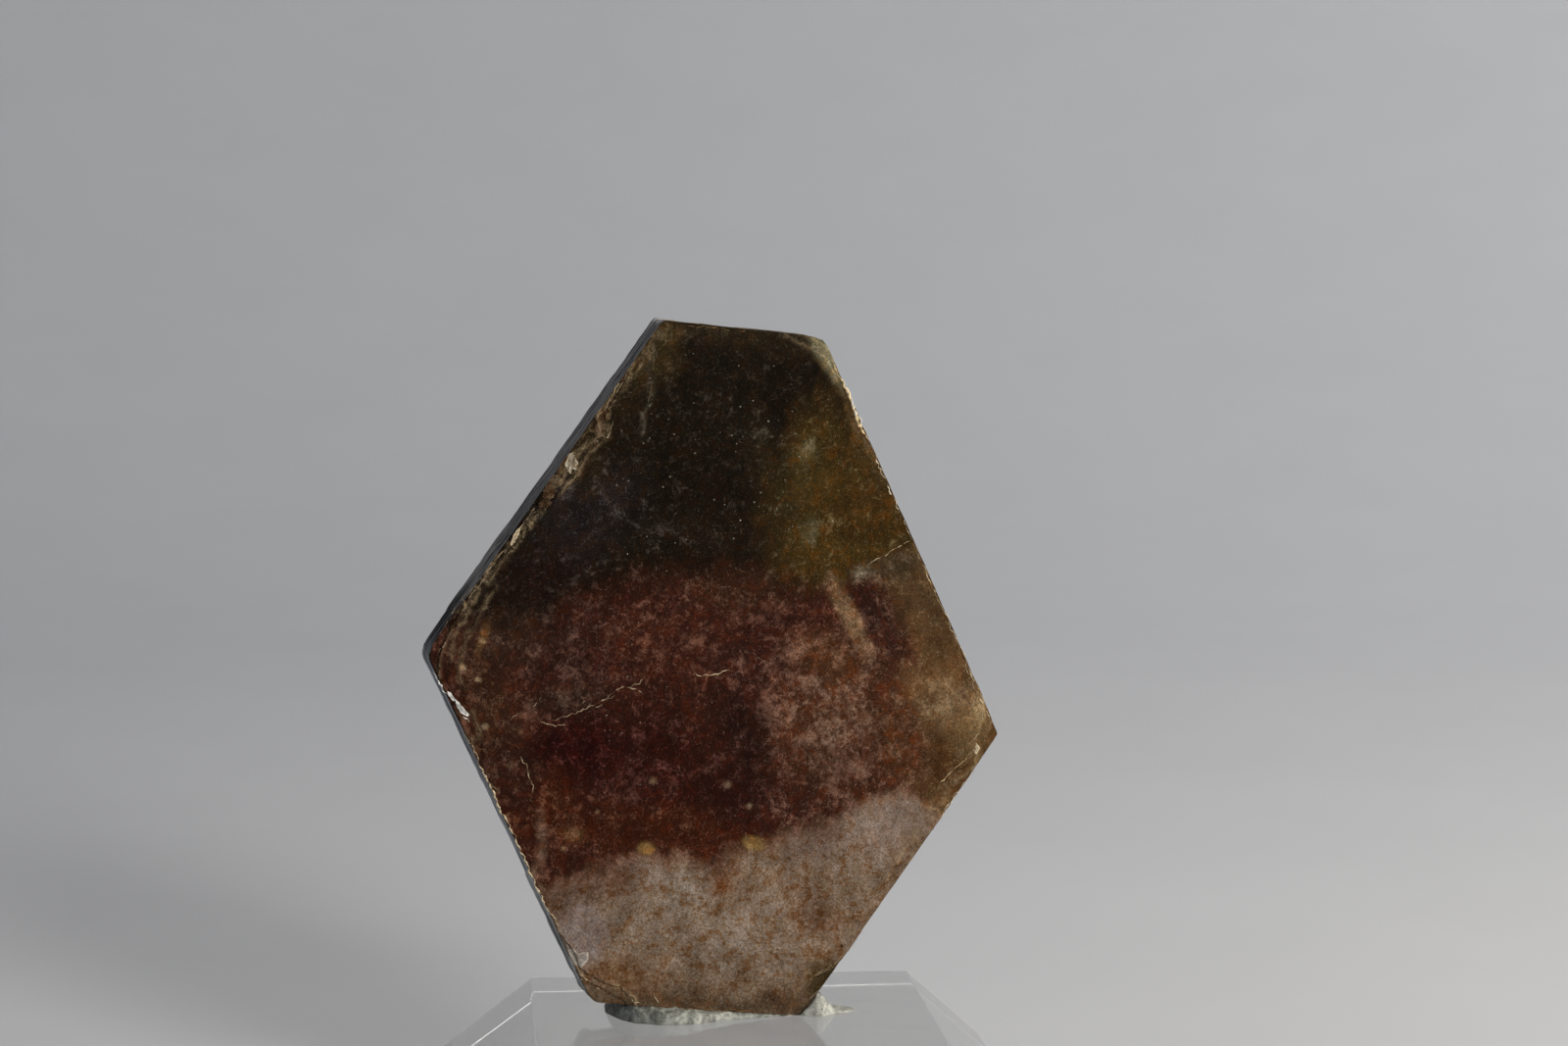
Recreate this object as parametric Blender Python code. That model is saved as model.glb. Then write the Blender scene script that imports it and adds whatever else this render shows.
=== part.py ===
"""Six-sided mica crystal standing in a roll of mounting putty on a clear display block.

Lengths are in metres, +Z is up, and the origin is the middle of the block's underside.
The crystal is modelled upright in its own frame: X across its broad face, Z up, and Y through
its thickness, with the front face at Y = 0. Its object is then tilted and turned into place.
"""
import math

import bmesh
import bpy

MM = 0.001

# ---- driving dimensions: display block ----
BLOCK_SIDE = 60.0 * MM          # square foot of the block
BLOCK_HEIGHT = 19.0 * MM
BLOCK_SLOPE_RUN = 9.6 * MM      # 45 degree slope all round the top
BLOCK_EDGE_BREAK = 0.3 * MM     # polished edges

# ---- driving dimensions: crystal ----
CRYSTAL_THICKNESS = 7.0 * MM
CRYSTAL_CENTRE_X = -2.4 * MM    # beside the block's middle
CRYSTAL_FRONT_Y = -0.3 * MM     # front face, from the block's middle
CRYSTAL_CENTRE_RISE = 36.0 * MM # crystal's centre above the block's top
CRYSTAL_TURN = math.radians(3.4)
CRYSTAL_TILT = math.radians(5.7)

# distance in mm of each of the six side faces from the crystal's centre, by the direction it faces
FACE_DISTANCES = {90: 34.7, 150: 24.4, 210: 25.1, 270: 34.8, 330: 28.8, 30: 24.5}
# how far each face of the back sheet stands outside the front one, in mm
BACK_SPREAD = {90: 0.1, 150: 0.45, 210: 0.65, 270: -0.3, 330: 0.1, 30: 0.2}
# corner radius in mm, for the corner that follows each face going anticlockwise
CORNER_RADII = {90: 0.8, 150: 2.2, 210: 1.6, 270: 1.2, 330: 0.5, 30: 2.0}

# the book of sheets that shows on the sides: thickness and how far each steps back, in mm
SHEETS = [(0.7, 0.00), (0.5, 0.14), (1.1, 0.03), (0.7, 0.16), (1.4, 0.00), (0.6, 0.20), (1.2, 0.05), (0.8, 0.24)]
EDGE_STEPS = 14                 # stretches along each straight side
CORNER_STEPS = 4                # stretches round each corner
RAGGEDNESS = 0.07               # mm, how far a sheet's edge wanders

# Where sheets have broken off the front face: depth in mm and the line of the break, then
# one or two points outside the crystal that close the outline. Points are (x, z) in mm.
FRONT_BREAKS = {
    "upper_left_strip": (0.35, [(-8.6, 37.0), (-8.9, 33.2), (-11.3, 29.6), (-12.2, 26.6), (-12.9, 23.5), (-14.6, 22.2),
                                (-15.2, 17.2), (-17.3, 16.2), (-20.3, 11.4), (-23.2, 6.9), (-26.0, 9.5), (-16.0, 30.0)]),
    "left_corner_outer": (0.9, [(-26.5, 6.5), (-25.2, 4.3), (-26.4, 2.0), (-27.3, -0.9), (-27.5, -3.6),
                                (-26.2, -6.3), (-27.0, -9.5), (-33.0, -2.0)]),
    "left_corner_inner": (0.45, [(-24.5, 8.2), (-22.0, 6.4), (-23.6, 3.6), (-24.9, 0.6), (-25.3, -2.7), (-24.2, -5.8),
                                 (-22.4, -8.7), (-21.6, -12.6), (-25.0, -14.0), (-34.0, -2.0)]),
    "right_side_step": (0.3, [(15.1, 11.8), (19.6, 15.0), (24.0, 17.0), (33.0, 2.0), (32.0, -2.2), (26.6, -1.4),
                              (24.0, 0.6), (21.4, 3.3), (18.3, 6.2), (16.2, 9.4)]),
    "right_corner_chip": (0.75, [(24.6, 8.0), (25.4, 1.6), (27.2, -0.4), (28.0, -2.5), (27.1, -4.9), (27.2, -7.4),
                                 (25.6, -11.0), (29.0, -13.5), (35.0, -4.0)]),
    "bottom_left_flake": (0.6, [(-15.5, -26.5), (-12.6, -28.0), (-11.4, -29.8), (-10.2, -30.9), (-9.2, -32.6), (-7.2, -33.4),
                                (-5.0, -34.0), (-3.6, -36.5), (-13.0, -37.5)]),
    "bottom_right_facet": (0.55, [(11.2, -37.0), (11.9, -32.6), (13.8, -30.7), (15.9, -29.2), (18.1, -25.4), (22.0, -26.5),
                                  (16.0, -38.0)]),
    "top_right_chip": (0.7, [(4.0, 37.0), (4.6, 34.4), (7.0, 33.3), (8.7, 31.9), (9.9, 30.2), (11.6, 28.9),
                             (15.0, 30.0), (10.0, 38.0)]),
}
# The same for the back face, whose larger sheets split along the crystal's own directions.
BACK_BREAKS = {
    "back_upper_sheet": (0.7, [(-24.0, 14.0), (-9.0, 5.4), (-3.6, 8.6), (7.0, 2.4), (24.0, 12.2), (26.0, 40.0), (-24.0, 40.0)]),
    "back_top_flake": (1.3, [(-14.0, 30.0), (-2.5, 23.4), (14.5, 33.2), (12.0, 40.0), (-12.0, 40.0)]),
    "back_lower_right": (0.5, [(34.0, -10.0), (17.0, -14.2), (9.2, -27.7), (12.0, -40.0), (34.0, -38.0)]),
    "back_left_corner": (1.0, [(-34.0, 8.0), (-23.0, 1.4), (-21.2, -8.2), (-34.0, -16.0)]),
}
# Knocks through the whole edge of the plate: centre (x, z), half length along and half width
# across the cut, the direction that it faces in degrees, and its depth range, all in mm.
CORNER_KNOCKS = [
    ((10.6, 34.3), 4.0, 1.6, 56.0, (-1.0, 3.4)),
    ((-13.3, -35.3), 3.2, 1.5, 236.0, (-1.0, 2.6)),
    ((30.9, -7.4), 3.0, 1.3, 338.0, (-1.0, 2.2)),
    ((-10.5, 36.4), 3.0, 1.6, 122.0, (5.0, 9.0)),
]

# ---- driving dimensions: putty ----
TOUCH_GAP = 0.3 * MM            # kept between pieces that touch
PUTTY_POINTS = 11               # points over the top of a cross-section
# stations along the block: x, front lip y, back lip y, height under the front, height behind, all in mm
PUTTY_STATIONS = [
    (-13.6, 3.2, 6.4, 0.35, 0.5), (-13.0, 1.4, 7.9, 0.95, 1.7), (-11.8, -1.0, 8.8, 1.2, 2.6), (-10.2, -2.5, 9.3, 1.15, 3.1),
    (-8.0, -3.1, 9.7, 0.95, 2.8), (-5.5, -3.3, 9.9, 0.72, 2.3), (-3.2, -2.7, 9.7, 0.52, 2.0), (-1.0, -2.1, 9.5, 0.42, 1.9),
    (1.5, -1.8, 9.3, 0.40, 1.7), (4.5, -1.8, 9.2, 0.42, 1.9), (7.5, -1.9, 9.2, 0.45, 2.5), (9.8, -1.9, 9.0, 0.7, 3.4),
    (11.4, -1.5, 8.6, 1.5, 3.9), (12.6, -0.4, 8.0, 2.0, 3.3), (13.6, 1.3, 7.2, 1.0, 1.9), (14.3, 2.6, 5.8, 0.4, 0.6),
]


def clear_scene():
    for existing in list(bpy.data.objects):
        bpy.data.objects.remove(existing, do_unlink=True)


def make_material(name, colour, roughness, transmission=0.0, ior=1.5):
    material = bpy.data.materials.new(name)
    material.use_nodes = True
    shader = material.node_tree.nodes["Principled BSDF"]
    shader.inputs["Base Color"].default_value = (*colour, 1.0)
    shader.inputs["Roughness"].default_value = roughness
    shader.inputs["Metallic"].default_value = 0.0
    shader.inputs["Transmission Weight"].default_value = transmission
    shader.inputs["IOR"].default_value = ior
    return material


def object_from_bmesh(name, bm, material=None):
    """Give a bmesh outward faces and put it in the scene as a named object."""
    bmesh.ops.recalc_face_normals(bm, faces=bm.faces)
    mesh = bpy.data.meshes.new(name)
    bm.to_mesh(mesh)
    bm.free()
    made = bpy.data.objects.new(name, mesh)
    bpy.context.scene.collection.objects.link(made)
    if material:
        mesh.materials.append(material)
    return made


def loft(rings, name, material=None):
    """Closed solid through rings of equal point count, with a flat cap at each end."""
    bm = bmesh.new()
    loops = [[bm.verts.new(point) for point in ring] for ring in rings]
    for near, far in zip(loops, loops[1:]):
        for i, corner in enumerate(near):
            j = (i + 1) % len(near)
            bm.faces.new((corner, near[j], far[j], far[i]))
    bm.faces.new(loops[0])
    bm.faces.new(list(reversed(loops[-1])))
    return object_from_bmesh(name, bm, material)


def cut(target, cutter):
    """Subtract a hidden wire-frame cutter from the target."""
    cutter.hide_render = True
    cutter.display_type = "WIRE"
    cutter.parent = target
    modifier = target.modifiers.new(cutter.name, "BOOLEAN")
    modifier.operation = "DIFFERENCE"
    modifier.object = cutter


def prism_cutter(target, name, outline, y_from, y_to):
    """Cut a straight-sided outline, in mm on the crystal's broad face, between two depths."""
    rings = [[(x * MM, y, z * MM) for x, z in outline] for y in (y_from, y_to)]
    cut(target, loft(rings, name))


def hexagon_ring(y, sheet, spread, step_in):
    """One sheet's outline at depth y: six straight ragged sides joined by rounded corners."""
    facing = sorted(FACE_DISTANCES)
    distance = {a: FACE_DISTANCES[a] + spread * BACK_SPREAD[a] - step_in for a in facing}
    half_angle = math.radians(30.0)
    arcs = []
    for index, here in enumerate(facing):
        ahead = facing[(index + 1) % 6]
        a = math.radians(here)
        b = a + 2 * half_angle
        # the sharp corner is where the two faces' lines meet
        det = math.sin(b - a)
        corner_x = (distance[here] * math.sin(b) - distance[ahead] * math.sin(a)) / det
        corner_z = (distance[ahead] * math.cos(a) - distance[here] * math.cos(b)) / det
        radius = CORNER_RADII[here]
        middle = a + half_angle
        hub_x = corner_x - radius / math.cos(half_angle) * math.cos(middle)
        hub_z = corner_z - radius / math.cos(half_angle) * math.sin(middle)
        angles = [a + 2 * half_angle * i / CORNER_STEPS for i in range(CORNER_STEPS + 1)]
        arcs.append([(hub_x + radius * math.cos(t), hub_z + radius * math.sin(t)) for t in angles])
    points = []
    for index, arc in enumerate(arcs):
        points += arc
        start = arc[-1]
        end = arcs[(index + 1) % 6][0]
        side = math.radians(facing[(index + 1) % 6])
        length = math.dist(start, end)
        for i in range(1, EDGE_STEPS):
            share = i / EDGE_STEPS
            wander = RAGGEDNESS * wander_along(share * length, sheet, index)
            x = start[0] + (end[0] - start[0]) * share + wander * math.cos(side)
            z = start[1] + (end[1] - start[1]) * share + wander * math.sin(side)
            points.append((x, z))
    return [(x * MM, y, z * MM) for x, z in points]


def wander_along(distance, sheet, side):
    """Smooth in-and-out between about -1 and 1 that differs from sheet to sheet."""
    return 0.6 * math.sin(0.55 * distance + 2.1 * sheet + side) + 0.4 * math.sin(1.45 * distance + 4.7 * sheet - 2 * side)


def build_crystal():
    """The plate as a stack of sheets whose edges step in and out, then its broken places."""
    rings = []
    depth = 0.0
    total = sum(thickness for thickness, _ in SHEETS)
    for sheet, (thickness, step_in) in enumerate(SHEETS):
        spread = (depth + thickness / 2) / total
        for y in (depth, depth + thickness):
            # neighbouring sheets meet in a ledge, so their rings lie a hair apart
            ledge = 0.02 if y == depth and sheet else 0.0
            rings.append(hexagon_ring((y + ledge) / total * CRYSTAL_THICKNESS, sheet, spread, step_in))
        depth += thickness
    mica = make_material("mica_surface", (0.21, 0.12, 0.06), 0.35)
    crystal = loft(rings, "mica_crystal", mica)
    clearance = 2.0 * MM
    for name, (depth_mm, outline) in FRONT_BREAKS.items():
        prism_cutter(crystal, name, outline, -clearance, depth_mm * MM)
    for name, (depth_mm, outline) in BACK_BREAKS.items():
        prism_cutter(crystal, name, outline, CRYSTAL_THICKNESS - depth_mm * MM, CRYSTAL_THICKNESS + clearance)
    for number, knock in enumerate(CORNER_KNOCKS, 1):
        centre, half_length, half_width, facing_degrees, (y_from, y_to) = knock
        outline = turned_box(centre, half_length, half_width, math.radians(facing_degrees))
        prism_cutter(crystal, f"corner_knock_{number}", outline, y_from * MM, y_to * MM)
    place_like_crystal(crystal)
    return crystal


def turned_box(centre, half_length, half_width, facing):
    along = (-math.sin(facing), math.cos(facing))
    across = (math.cos(facing), math.sin(facing))
    signs = ((-1, -1), (1, -1), (1, 1), (-1, 1))
    return [(centre[0] + s * half_length * along[0] + t * half_width * across[0],
             centre[1] + s * half_length * along[1] + t * half_width * across[1]) for s, t in signs]


def place_like_crystal(thing):
    thing.location = (CRYSTAL_CENTRE_X, CRYSTAL_FRONT_Y, BLOCK_HEIGHT + CRYSTAL_CENTRE_RISE)
    thing.rotation_euler = (0.0, CRYSTAL_TILT, CRYSTAL_TURN)


def putty_section(station, number):
    """Cross-section of the roll: a rounded front lip, a flat bed and a higher bank behind."""
    x, front, back, bed, bank = station
    crystal_back = (CRYSTAL_FRONT_Y + CRYSTAL_THICKNESS) / MM
    rise_at = min(crystal_back - 0.8, 0.5 * (front + back))
    top = [
        (front, 0.0), (front - 0.05, bed * 0.45), (front + 0.25, bed * 0.85), (front + 0.8, bed),
        (0.5 * (front + 0.8 + rise_at), bed), (rise_at, 0.5 * (bed + bank)), (0.5 * (rise_at + back), bank),
        (back - 0.9, bank * 0.97), (back - 0.25, bank * 0.75), (back, bank * 0.35), (back - 0.05, 0.0),
    ]
    points = []
    for i, (y, height) in enumerate(top):
        crinkle = 0.09 * math.sin(2.3 * x + 1.9 * i) + 0.06 * math.sin(5.1 * x - 2.7 * i + number)
        inside = 0 < i < PUTTY_POINTS - 1
        slide = 0.5 * math.sin(0.9 * i) * (0.12 if inside else 0.0)
        lifted = max(height + (crinkle * min(1.0, height) if inside else 0.0), 0.0)
        points.append(((x + slide) * MM, y * MM, BLOCK_HEIGHT + TOUCH_GAP + lifted * MM))
    return points


def build_putty():
    """Hand-rolled putty under and behind the crystal, with the crystal's seat pressed into it."""
    white = make_material("mounting_putty_surface", (0.66, 0.68, 0.63), 0.7)
    rings = [putty_section(station, number) for number, station in enumerate(PUTTY_STATIONS)]
    putty = loft(rings, "mounting_putty", white)
    grown = -TOUCH_GAP / MM
    seat = loft([hexagon_ring(-TOUCH_GAP, 0, 0.0, grown), hexagon_ring(CRYSTAL_THICKNESS + TOUCH_GAP, 0, 1.0, grown)],
                "crystal_seat")
    place_like_crystal(seat)
    cut(putty, seat)
    return putty


def build_block():
    """Clear plinth: a square foot, straight sides and a wide slope up to the top face."""
    clear = make_material("acrylic_surface", (0.95, 0.96, 0.96), 0.03, transmission=1.0, ior=1.49)
    foot = BLOCK_SIDE / 2
    top = foot - BLOCK_SLOPE_RUN
    levels = [(0.0, foot), (BLOCK_HEIGHT - BLOCK_SLOPE_RUN, foot), (BLOCK_HEIGHT, top)]
    rings = [[(sx * half, sy * half, z) for sx, sy in ((-1, -1), (1, -1), (1, 1), (-1, 1))] for z, half in levels]
    block = loft(rings, "acrylic_base", clear)
    edges = block.modifiers.new("polished_edges", "BEVEL")
    edges.width = BLOCK_EDGE_BREAK
    edges.segments = 2
    edges.limit_method = "ANGLE"
    edges.angle_limit = math.radians(30)
    return block


clear_scene()
build_block()
build_crystal()
build_putty()
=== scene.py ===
import bpy
import bmesh
import math
import numpy as np
from functools import partial
from mathutils import Euler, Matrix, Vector


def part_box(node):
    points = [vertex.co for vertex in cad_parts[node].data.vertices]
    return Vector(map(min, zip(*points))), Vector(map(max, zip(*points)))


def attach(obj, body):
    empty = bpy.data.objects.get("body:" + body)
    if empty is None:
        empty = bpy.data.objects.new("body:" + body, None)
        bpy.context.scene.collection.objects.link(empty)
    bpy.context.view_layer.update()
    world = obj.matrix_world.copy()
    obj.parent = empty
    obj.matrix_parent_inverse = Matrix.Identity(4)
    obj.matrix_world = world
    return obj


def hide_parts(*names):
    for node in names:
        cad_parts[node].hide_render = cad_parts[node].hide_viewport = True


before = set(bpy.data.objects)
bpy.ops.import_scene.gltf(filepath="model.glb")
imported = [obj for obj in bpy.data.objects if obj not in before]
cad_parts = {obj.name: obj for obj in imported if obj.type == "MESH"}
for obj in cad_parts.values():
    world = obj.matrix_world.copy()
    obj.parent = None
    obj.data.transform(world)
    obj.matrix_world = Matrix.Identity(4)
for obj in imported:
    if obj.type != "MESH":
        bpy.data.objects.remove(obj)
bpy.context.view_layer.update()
mm = 0.001
percent = 0.01
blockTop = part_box("acrylic_base")[1][2]
bpy.context.scene.view_settings.view_transform = "Standard"
print("frame loaded, block top at", round(blockTop / mm, 2), "mm")


# small noise kit, in millimetres on the crystal's broad face

def cellValue(ix, iz, seed):
    ix, iz = np.asarray(ix).astype(np.int64), np.asarray(iz).astype(np.int64)
    n = (ix * 374761393 + iz * 668265263 + seed * 974634777) & 0xFFFFFFFF
    n = ((n ^ (n >> 13)) * 1274126177) & 0xFFFFFFFF
    return ((n ^ (n >> 16)) & 0xFFFF) / 65535.0


def softNoise(x, z, size, seed):
    # blended random values on a square net, from -1 to 1
    u, v = np.asarray(x, float) / size, np.asarray(z, float) / size
    iu, iv = np.floor(u), np.floor(v)
    fu, fv = u - iu, v - iv
    fu, fv = fu * fu * (3 - 2 * fu), fv * fv * (3 - 2 * fv)
    low = cellValue(iu, iv, seed) * (1 - fu) + cellValue(iu + 1, iv, seed) * fu
    high = cellValue(iu, iv + 1, seed) * (1 - fu) + cellValue(iu + 1, iv + 1, seed) * fu
    return 2 * (low * (1 - fv) + high * fv) - 1


def roughNoise(x, z, size, seed, octaves=4):
    total, weight, share = 0.0, 0.0, 1.0
    for octave in range(octaves):
        total = total + share * softNoise(x, z, size / 2 ** octave, seed + octave)
        weight += share
        share *= 0.55
    return total / weight


def ease(low, high, value):
    t = np.clip((np.asarray(value, float) - low) / (high - low), 0.0, 1.0)
    return t * t * (3 - 2 * t)


def facing(degrees):
    return np.array([math.cos(math.radians(degrees)), math.sin(math.radians(degrees))])


# short ways to add objects, meshes and shader nodes

def addObject(name, data):
    made = bpy.data.objects.new(name, data)
    bpy.context.scene.collection.objects.link(made)
    return made


def meshPiece(name, vertices, faces, material, turnOut=True):
    # one mesh object, its faces turned outward when asked
    mesh = bpy.data.meshes.new(name)
    mesh.from_pydata(np.asarray(vertices).tolist(), [], faces)
    mesh.materials.append(material)
    if turnOut:
        bm = bmesh.new()
        bm.from_mesh(mesh)
        bmesh.ops.recalc_face_normals(bm, faces=bm.faces)
        bm.to_mesh(mesh)
        bm.free()
    return addObject(name, mesh)


def bandFaces(last, count):
    # quads between neighbouring rings of count points each, up to the ring that starts at last
    return [(low + i, low + (i + 1) % count, low + count + (i + 1) % count, low + count + i)
            for low in range(0, last, count) for i in range(count)]


def addTone(made, name, colours, alpha=1.0):
    layer = made.data.attributes.new(name, "FLOAT_COLOR", "POINT")
    alpha = np.broadcast_to(alpha, len(colours))
    layer.data.foreach_set("color", np.column_stack([colours, alpha]).ravel())


def fillSocket(tree, socket, value):
    # an output is linked, a number or colour is set on the socket itself
    if isinstance(value, bpy.types.NodeSocket):
        tree.links.new(value, socket)
    elif value is not None:
        socket.default_value = (*value, 1) if socket.type == "RGBA" else value


def addNode(tree, kind, inputs, **settings):
    node = tree.nodes.new("ShaderNode" + kind)
    for key, value in settings.items():
        setattr(node, key, value)
    for key, value in inputs.items():
        fillSocket(tree, node.inputs[key], value)
    return node.outputs


def addMath(tree, operation, *values, clamp=False):
    return addNode(tree, "Math", dict(enumerate(values)), operation=operation, use_clamp=clamp)[0]


def addMix(tree, factor, first, second, blend="MIX"):
    inputs = {"Factor": factor, "A": first, "B": second}
    return addNode(tree, "Mix", inputs, data_type="RGBA", blend_type=blend)["Result"]


def addNoise(tree, place, scale, detail, roughness=0.5, distortion=0.0, stretch=None, turn=(0, 0, 0)):
    if stretch:
        place = addNode(tree, "Mapping", {"Vector": place, "Scale": stretch, "Rotation": turn})["Vector"]
    return addNode(tree, "TexNoise", {"Vector": place, "Scale": scale, "Detail": detail,
                                      "Roughness": roughness, "Distortion": distortion})["Fac"]


def addRange(tree, value, low, high, toLow=0.0, toHigh=1.0, kind="SMOOTHSTEP"):
    inputs = {"Value": value, "From Min": low, "From Max": high, "To Min": toLow, "To Max": toHigh}
    return addNode(tree, "MapRange", inputs, interpolation_type=kind)["Result"]


def addStored(tree, name):
    return addNode(tree, "Attribute", {}, attribute_name=name)


def newMaterial(name):
    material = bpy.data.materials.new(name)
    material.use_nodes = True
    return material, material.node_tree


def finishMaterial(tree, values, piece, height=None):
    # fills the shader's sockets from the piece's own dictionary and from the values given here
    finish = {"Roughness": piece["roughness"], "Specular IOR Level": piece["specular"], **values}
    if height is not None:
        strength, deep = piece["bump"]
        bump = {"Height": height, "Strength": strength, "Distance": deep * mm}
        finish["Normal"] = addNode(tree, "Bump", bump)["Normal"]
    for key, value in finish.items():
        fillSocket(tree, tree.nodes["Principled BSDF"].inputs[key], value)


# camera

camera = {
    "spot": (-24.97, -325.38, 96.7),       # mm
    "headingDeg": 5.3,                     # to the right of the block's depth
    "downDeg": 4.7,
    "lens": 74.25,
    "sensorWidth": 36.0,
    "clip": (0.01, 20.0),                  # metres
}


def makeCamera():
    data = bpy.data.cameras.new("studioCamera")
    data.lens = camera["lens"]
    data.sensor_width = camera["sensorWidth"]
    data.clip_start, data.clip_end = camera["clip"]
    stand = addObject("studioCamera", data)
    stand.location = Vector(camera["spot"]) * mm
    stand.rotation_euler = (math.radians(90 - camera["downDeg"]), 0, math.radians(-camera["headingDeg"]))
    bpy.context.scene.camera = stand
    print("camera set")


# studio: a pale paper bowl, soft lamps and sky

studio = {
    "floorRadius": 0.5,                    # metres
    "bendRadius": 0.8,
    "wallTop": 1.7,
    "bendSteps": 12,
    "spokes": 96,
    "paper": (0.50, 0.51, 0.53),
    "paperDrift": 0.03,                    # how far the paper's tone wanders either way
    "roughness": 0.9,
    "specular": 0.06,
    "sky": (0.84, 0.90, 1.0),
    "skyStrength": 0.22,
    "lamps": {
        # place, aim (m), size (m), power (W), colour
        "keyLamp": ((0.50, -0.13, 0.30), (0, 0, 0.05), 0.06, 2.2, (1.0, 0.93, 0.82)),
        "wallLamp": ((0.85, 0.35, 0.9), (0.5, 1.0, 0.3), 0.4, 6.9, (1.0, 0.98, 0.95)),
        "lowLamp": ((0.36, -0.74, 0.33), (0, 0.1, 0.03), 0.22, 6.2, (1.0, 0.96, 0.91)),
    },
}


def makeStudio():
    # profile of the bowl, turned once round the vertical axis
    floor, bend, spokes = studio["floorRadius"], studio["bendRadius"], studio["spokes"]
    profile = [(floor * 0.5, 0.0), (floor, 0.0)]
    for i in range(1, studio["bendSteps"] + 1):
        angle = math.pi / 2 * i / studio["bendSteps"]
        profile.append((floor + bend * math.sin(angle), bend - bend * math.cos(angle)))
    profile.append((floor + bend, studio["wallTop"]))
    turns = [2 * math.pi * i / spokes for i in range(spokes)]
    vertices = [(radius * math.cos(a), radius * math.sin(a), z) for radius, z in profile for a in turns]
    faces = [tuple(range(spokes))] + [face[::-1] for face in bandFaces(len(vertices) - spokes, spokes)]
    material, tree = newMaterial("pale_paper")
    drift = studio["paperDrift"]
    dim, bright = [[c * gain for c in studio["paper"]] for gain in (1 - drift, 1 + drift)]
    paper = addMix(tree, addNoise(tree, None, 60.0, 4.0), dim, bright)
    finishMaterial(tree, {"Base Color": paper}, studio)
    bowl = meshPiece("paperBowl", vertices, faces, material, False)
    bowl.data.shade_smooth()

    for name, (place, aim, size, power, colour) in studio["lamps"].items():
        data = bpy.data.lights.new(name, "AREA")
        data.shape = "DISK"
        data.size = size
        data.energy = power
        data.color = colour
        lamp = addObject(name, data)
        lamp.location = place
        lamp.rotation_euler = (Vector(aim) - Vector(place)).to_track_quat("-Z", "Y").to_euler()
        lamp.visible_camera = False
    world = bpy.data.worlds.new("studioSky")
    world.use_nodes = True
    sky = world.node_tree.nodes["Background"]
    sky.inputs["Color"].default_value = (*studio["sky"], 1)
    sky.inputs["Strength"].default_value = studio["skyStrength"]
    bpy.context.scene.world = world
    print("studio:", len(studio["lamps"]), "lamps")


# the crystal's form, in mm in its own upright frame: x across, z up, y into the plate

crystal = {
    "besideMiddle": -2.4,                  # from the block's middle
    "frontY": -0.3,
    "rise": 36.0,                          # crystal's centre above the block's top
    "turnDeg": 3.4,
    "tiltDeg": 5.7,
    "thickness": 7.0,
    "netStep": 0.25,                       # spacing of the surface net
    # the six side faces, by the direction that each looks in degrees
    "faceDistances": {90: 34.7, 150: 24.4, 210: 25.1, 270: 35.0, 330: 28.8, 30: 24.5},
    "backSpread": {90: 0.1, 150: 0.45, 210: 0.65, 270: -0.3, 330: 0.1, 30: 0.2},
    "cornerRadii": {90: 0.8, 150: 2.2, 210: 2.0, 270: 1.4, 330: 0.5, 30: 2.4},
    "sheetCount": 14,
    "sheetStepBack": 0.16,                 # the most that a sheet ends short of the next
    "sheetWander": 0.05,
    "sheetNick": 0.35,
    "sheetGap": 0.012,
    "nearFront": 2.4,                      # depth in which the sheets even out to the front or back
    "nearBack": 2.2,
    "edgeRagged": 0.06,
    "frontSwell": (0.05, 14, 60),          # faintest swell of a face: height, size, seed
    "backSwell": (0.04, 12, 90),
    "wallWidth": 0.07,                     # plan width of a break's steep wall
}

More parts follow.
